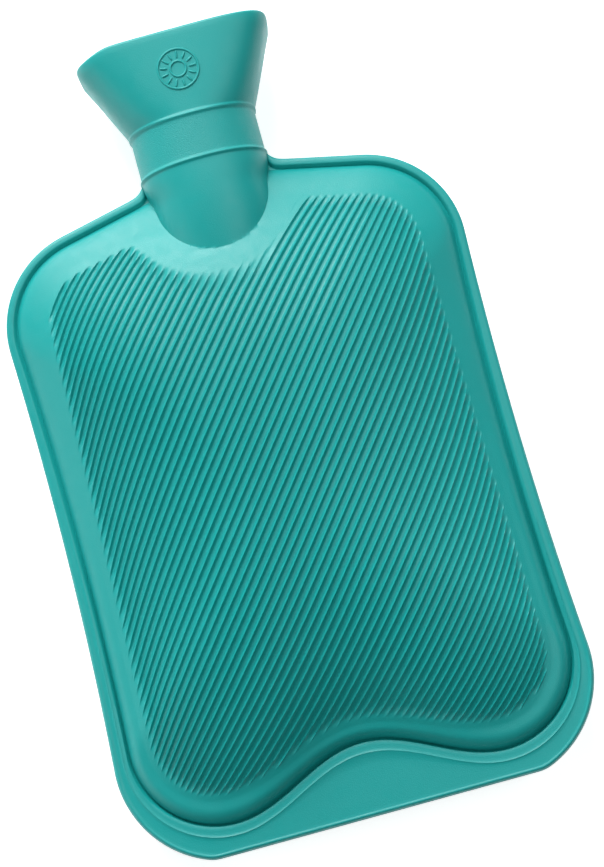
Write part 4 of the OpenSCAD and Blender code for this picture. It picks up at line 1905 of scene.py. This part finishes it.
@dataclass(frozen=True)
class Studio:
    """Camera at the photograph's angle, soft lamps and a plain pale floor."""

    seam_z: float
    pitch: float = 7.5
    yaw: float = -0.0639
    roll: float = -15.3584
    distance: float = 862.1
    focal_px: float = 2078.25
    target_x: float = 10.26
    target_y: float = -8.39
    sensor: float = 36.0
    floor_half: float = 6.0
    world_strength: float = 0.06
    lamps: tuple[tuple[str, Triple, float, float], ...] = (
        ("key", (-0.08, 2.23, 2.01), 1.2, 61.0),
        ("low_key", (-0.63, 2.75, 1.03), 1.8, 58.0),
        ("left_fill", (-2.76, -0.58, 1.03), 2.2, 26.0),
        ("right_fill", (1.27, 0.0, 2.72), 1.2, 19.0),
    )
    floor_glow: float = 0.74
    floor_drop: float = 0.0002
    floor_tone: float = 0.86
    floor_roughness: float = 0.9
    nearest: float = 0.01

    def camera(self) -> None:
        """Camera turned by roll, then pitch, then yaw, and backed off along its own axis."""
        turn = (
            Matrix.Rotation(np.radians(self.yaw), 3, "Y")
            @ Matrix.Rotation(np.radians(self.pitch), 3, "X")
            @ Matrix.Rotation(np.radians(self.roll), 3, "Z")
        )
        target = Vector((self.target_x, self.target_y, self.seam_z)) * MM
        data = bpy.data.cameras.new("camera")
        data.sensor_fit = "VERTICAL"
        data.sensor_height = self.sensor
        data.lens = self.focal_px * self.sensor / PICTURE_HEIGHT_PX
        data.clip_start = self.nearest
        camera = bpy.data.objects.new("camera", data)
        camera.matrix_world = turn.to_4x4()
        camera.location = target + turn.col[2] * self.distance * MM
        bpy.context.scene.collection.objects.link(camera)
        bpy.context.scene.camera = camera

    def lamp(self, name: str, place: Triple, size: float, power: float) -> None:
        """A square soft lamp that looks at the bottle's middle.

        Args:
            name: the lamp's name.
            place: where it hangs, in metres.
            size: length of its sides, in metres.
            power: its power in watts.
        """
        data = bpy.data.lights.new(name, "AREA")
        data.size = size
        data.energy = power
        lamp = bpy.data.objects.new(name, data)
        lamp.location = place
        lamp.rotation_euler = (-Vector(place)).to_track_quat("-Z", "Y").to_euler()
        bpy.context.scene.collection.objects.link(lamp)

    def floor(self) -> None:
        """Plain pale floor: it shows white to the camera, and keeps the bottle's shadow."""
        h = self.floor_half
        mesh = bpy.data.meshes.new("floor")
        mesh.from_pydata([(-h, -h, 0), (h, -h, 0), (h, h, 0), (-h, h, 0)], [], [(0, 1, 2, 3)])
        floor = bpy.data.objects.new("floor", mesh)
        floor.location.z = -self.floor_drop
        bpy.context.scene.collection.objects.link(floor)
        material, wiring, shader = new_material("floor")
        shader.inputs["Base Color"].default_value = (*[self.floor_tone] * 3, 1)
        shader.inputs["Roughness"].default_value = self.floor_roughness
        shader.inputs["Emission Color"].default_value = (1, 1, 1, 1)
        rays = wiring.add("ShaderNodeLightPath").outputs
        seen = wiring.calculate("MAXIMUM", rays["Is Camera Ray"], rays["Is Glossy Ray"])
        seen = wiring.calculate("MAXIMUM", seen, rays["Is Transmission Ray"])
        glow = wiring.ramp(seen, (0.0, 1.0), (0.0, self.floor_glow))
        wiring.link(glow, shader.inputs["Emission Strength"])
        mesh.materials.append(material)

    def world(self) -> None:
        """Even pale light from all round, white where the camera sees it."""
        world = bpy.data.worlds.new("studio")
        world.use_nodes = True
        bpy.context.scene.world = world
        wiring = Wiring(world.node_tree)
        rays = wiring.add("ShaderNodeLightPath").outputs
        strength = wiring.ramp(rays["Is Camera Ray"], (0.0, 1.0), (self.world_strength, 1.0))
        back = world.node_tree.nodes["Background"]
        back.inputs["Color"].default_value = (1, 1, 1, 1)
        wiring.link(strength, back.inputs["Strength"])

    def build(self) -> None:
        """Sets the whole studio up."""
        self.camera()
        self.floor()
        self.world()
        for name, place, size, power in self.lamps:
            self.lamp(name, place, size, power)
        bpy.context.scene.view_settings.view_transform = "Standard"


def main() -> None:
    """Builds every piece in order."""
    logging.basicConfig(level=logging.INFO, format="%(message)s")
    low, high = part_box("bottle")
    closure_low, closure_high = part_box("stopper")
    seam = (closure_low.z + closure_high.z) / 2 / MM
    outline = Outline(seam_z=seam, y_bottom=low.y / MM, y_lip=high.y / MM)
    Studio(seam_z=seam).build()
    body = Body(outline, Ribs(outline))
    neck = Neck(outline, body)
    closure = Closure(neck)
    pieces = [
        Bottle(body, neck, Emblem(neck)).build(),
        closure.socket(),
        closure.washer(),
        closure.stopper(),
    ]
    for piece in pieces:
        mesh = piece.data
        mesh.calc_loop_triangles()


if __name__ == "__main__":
    main()
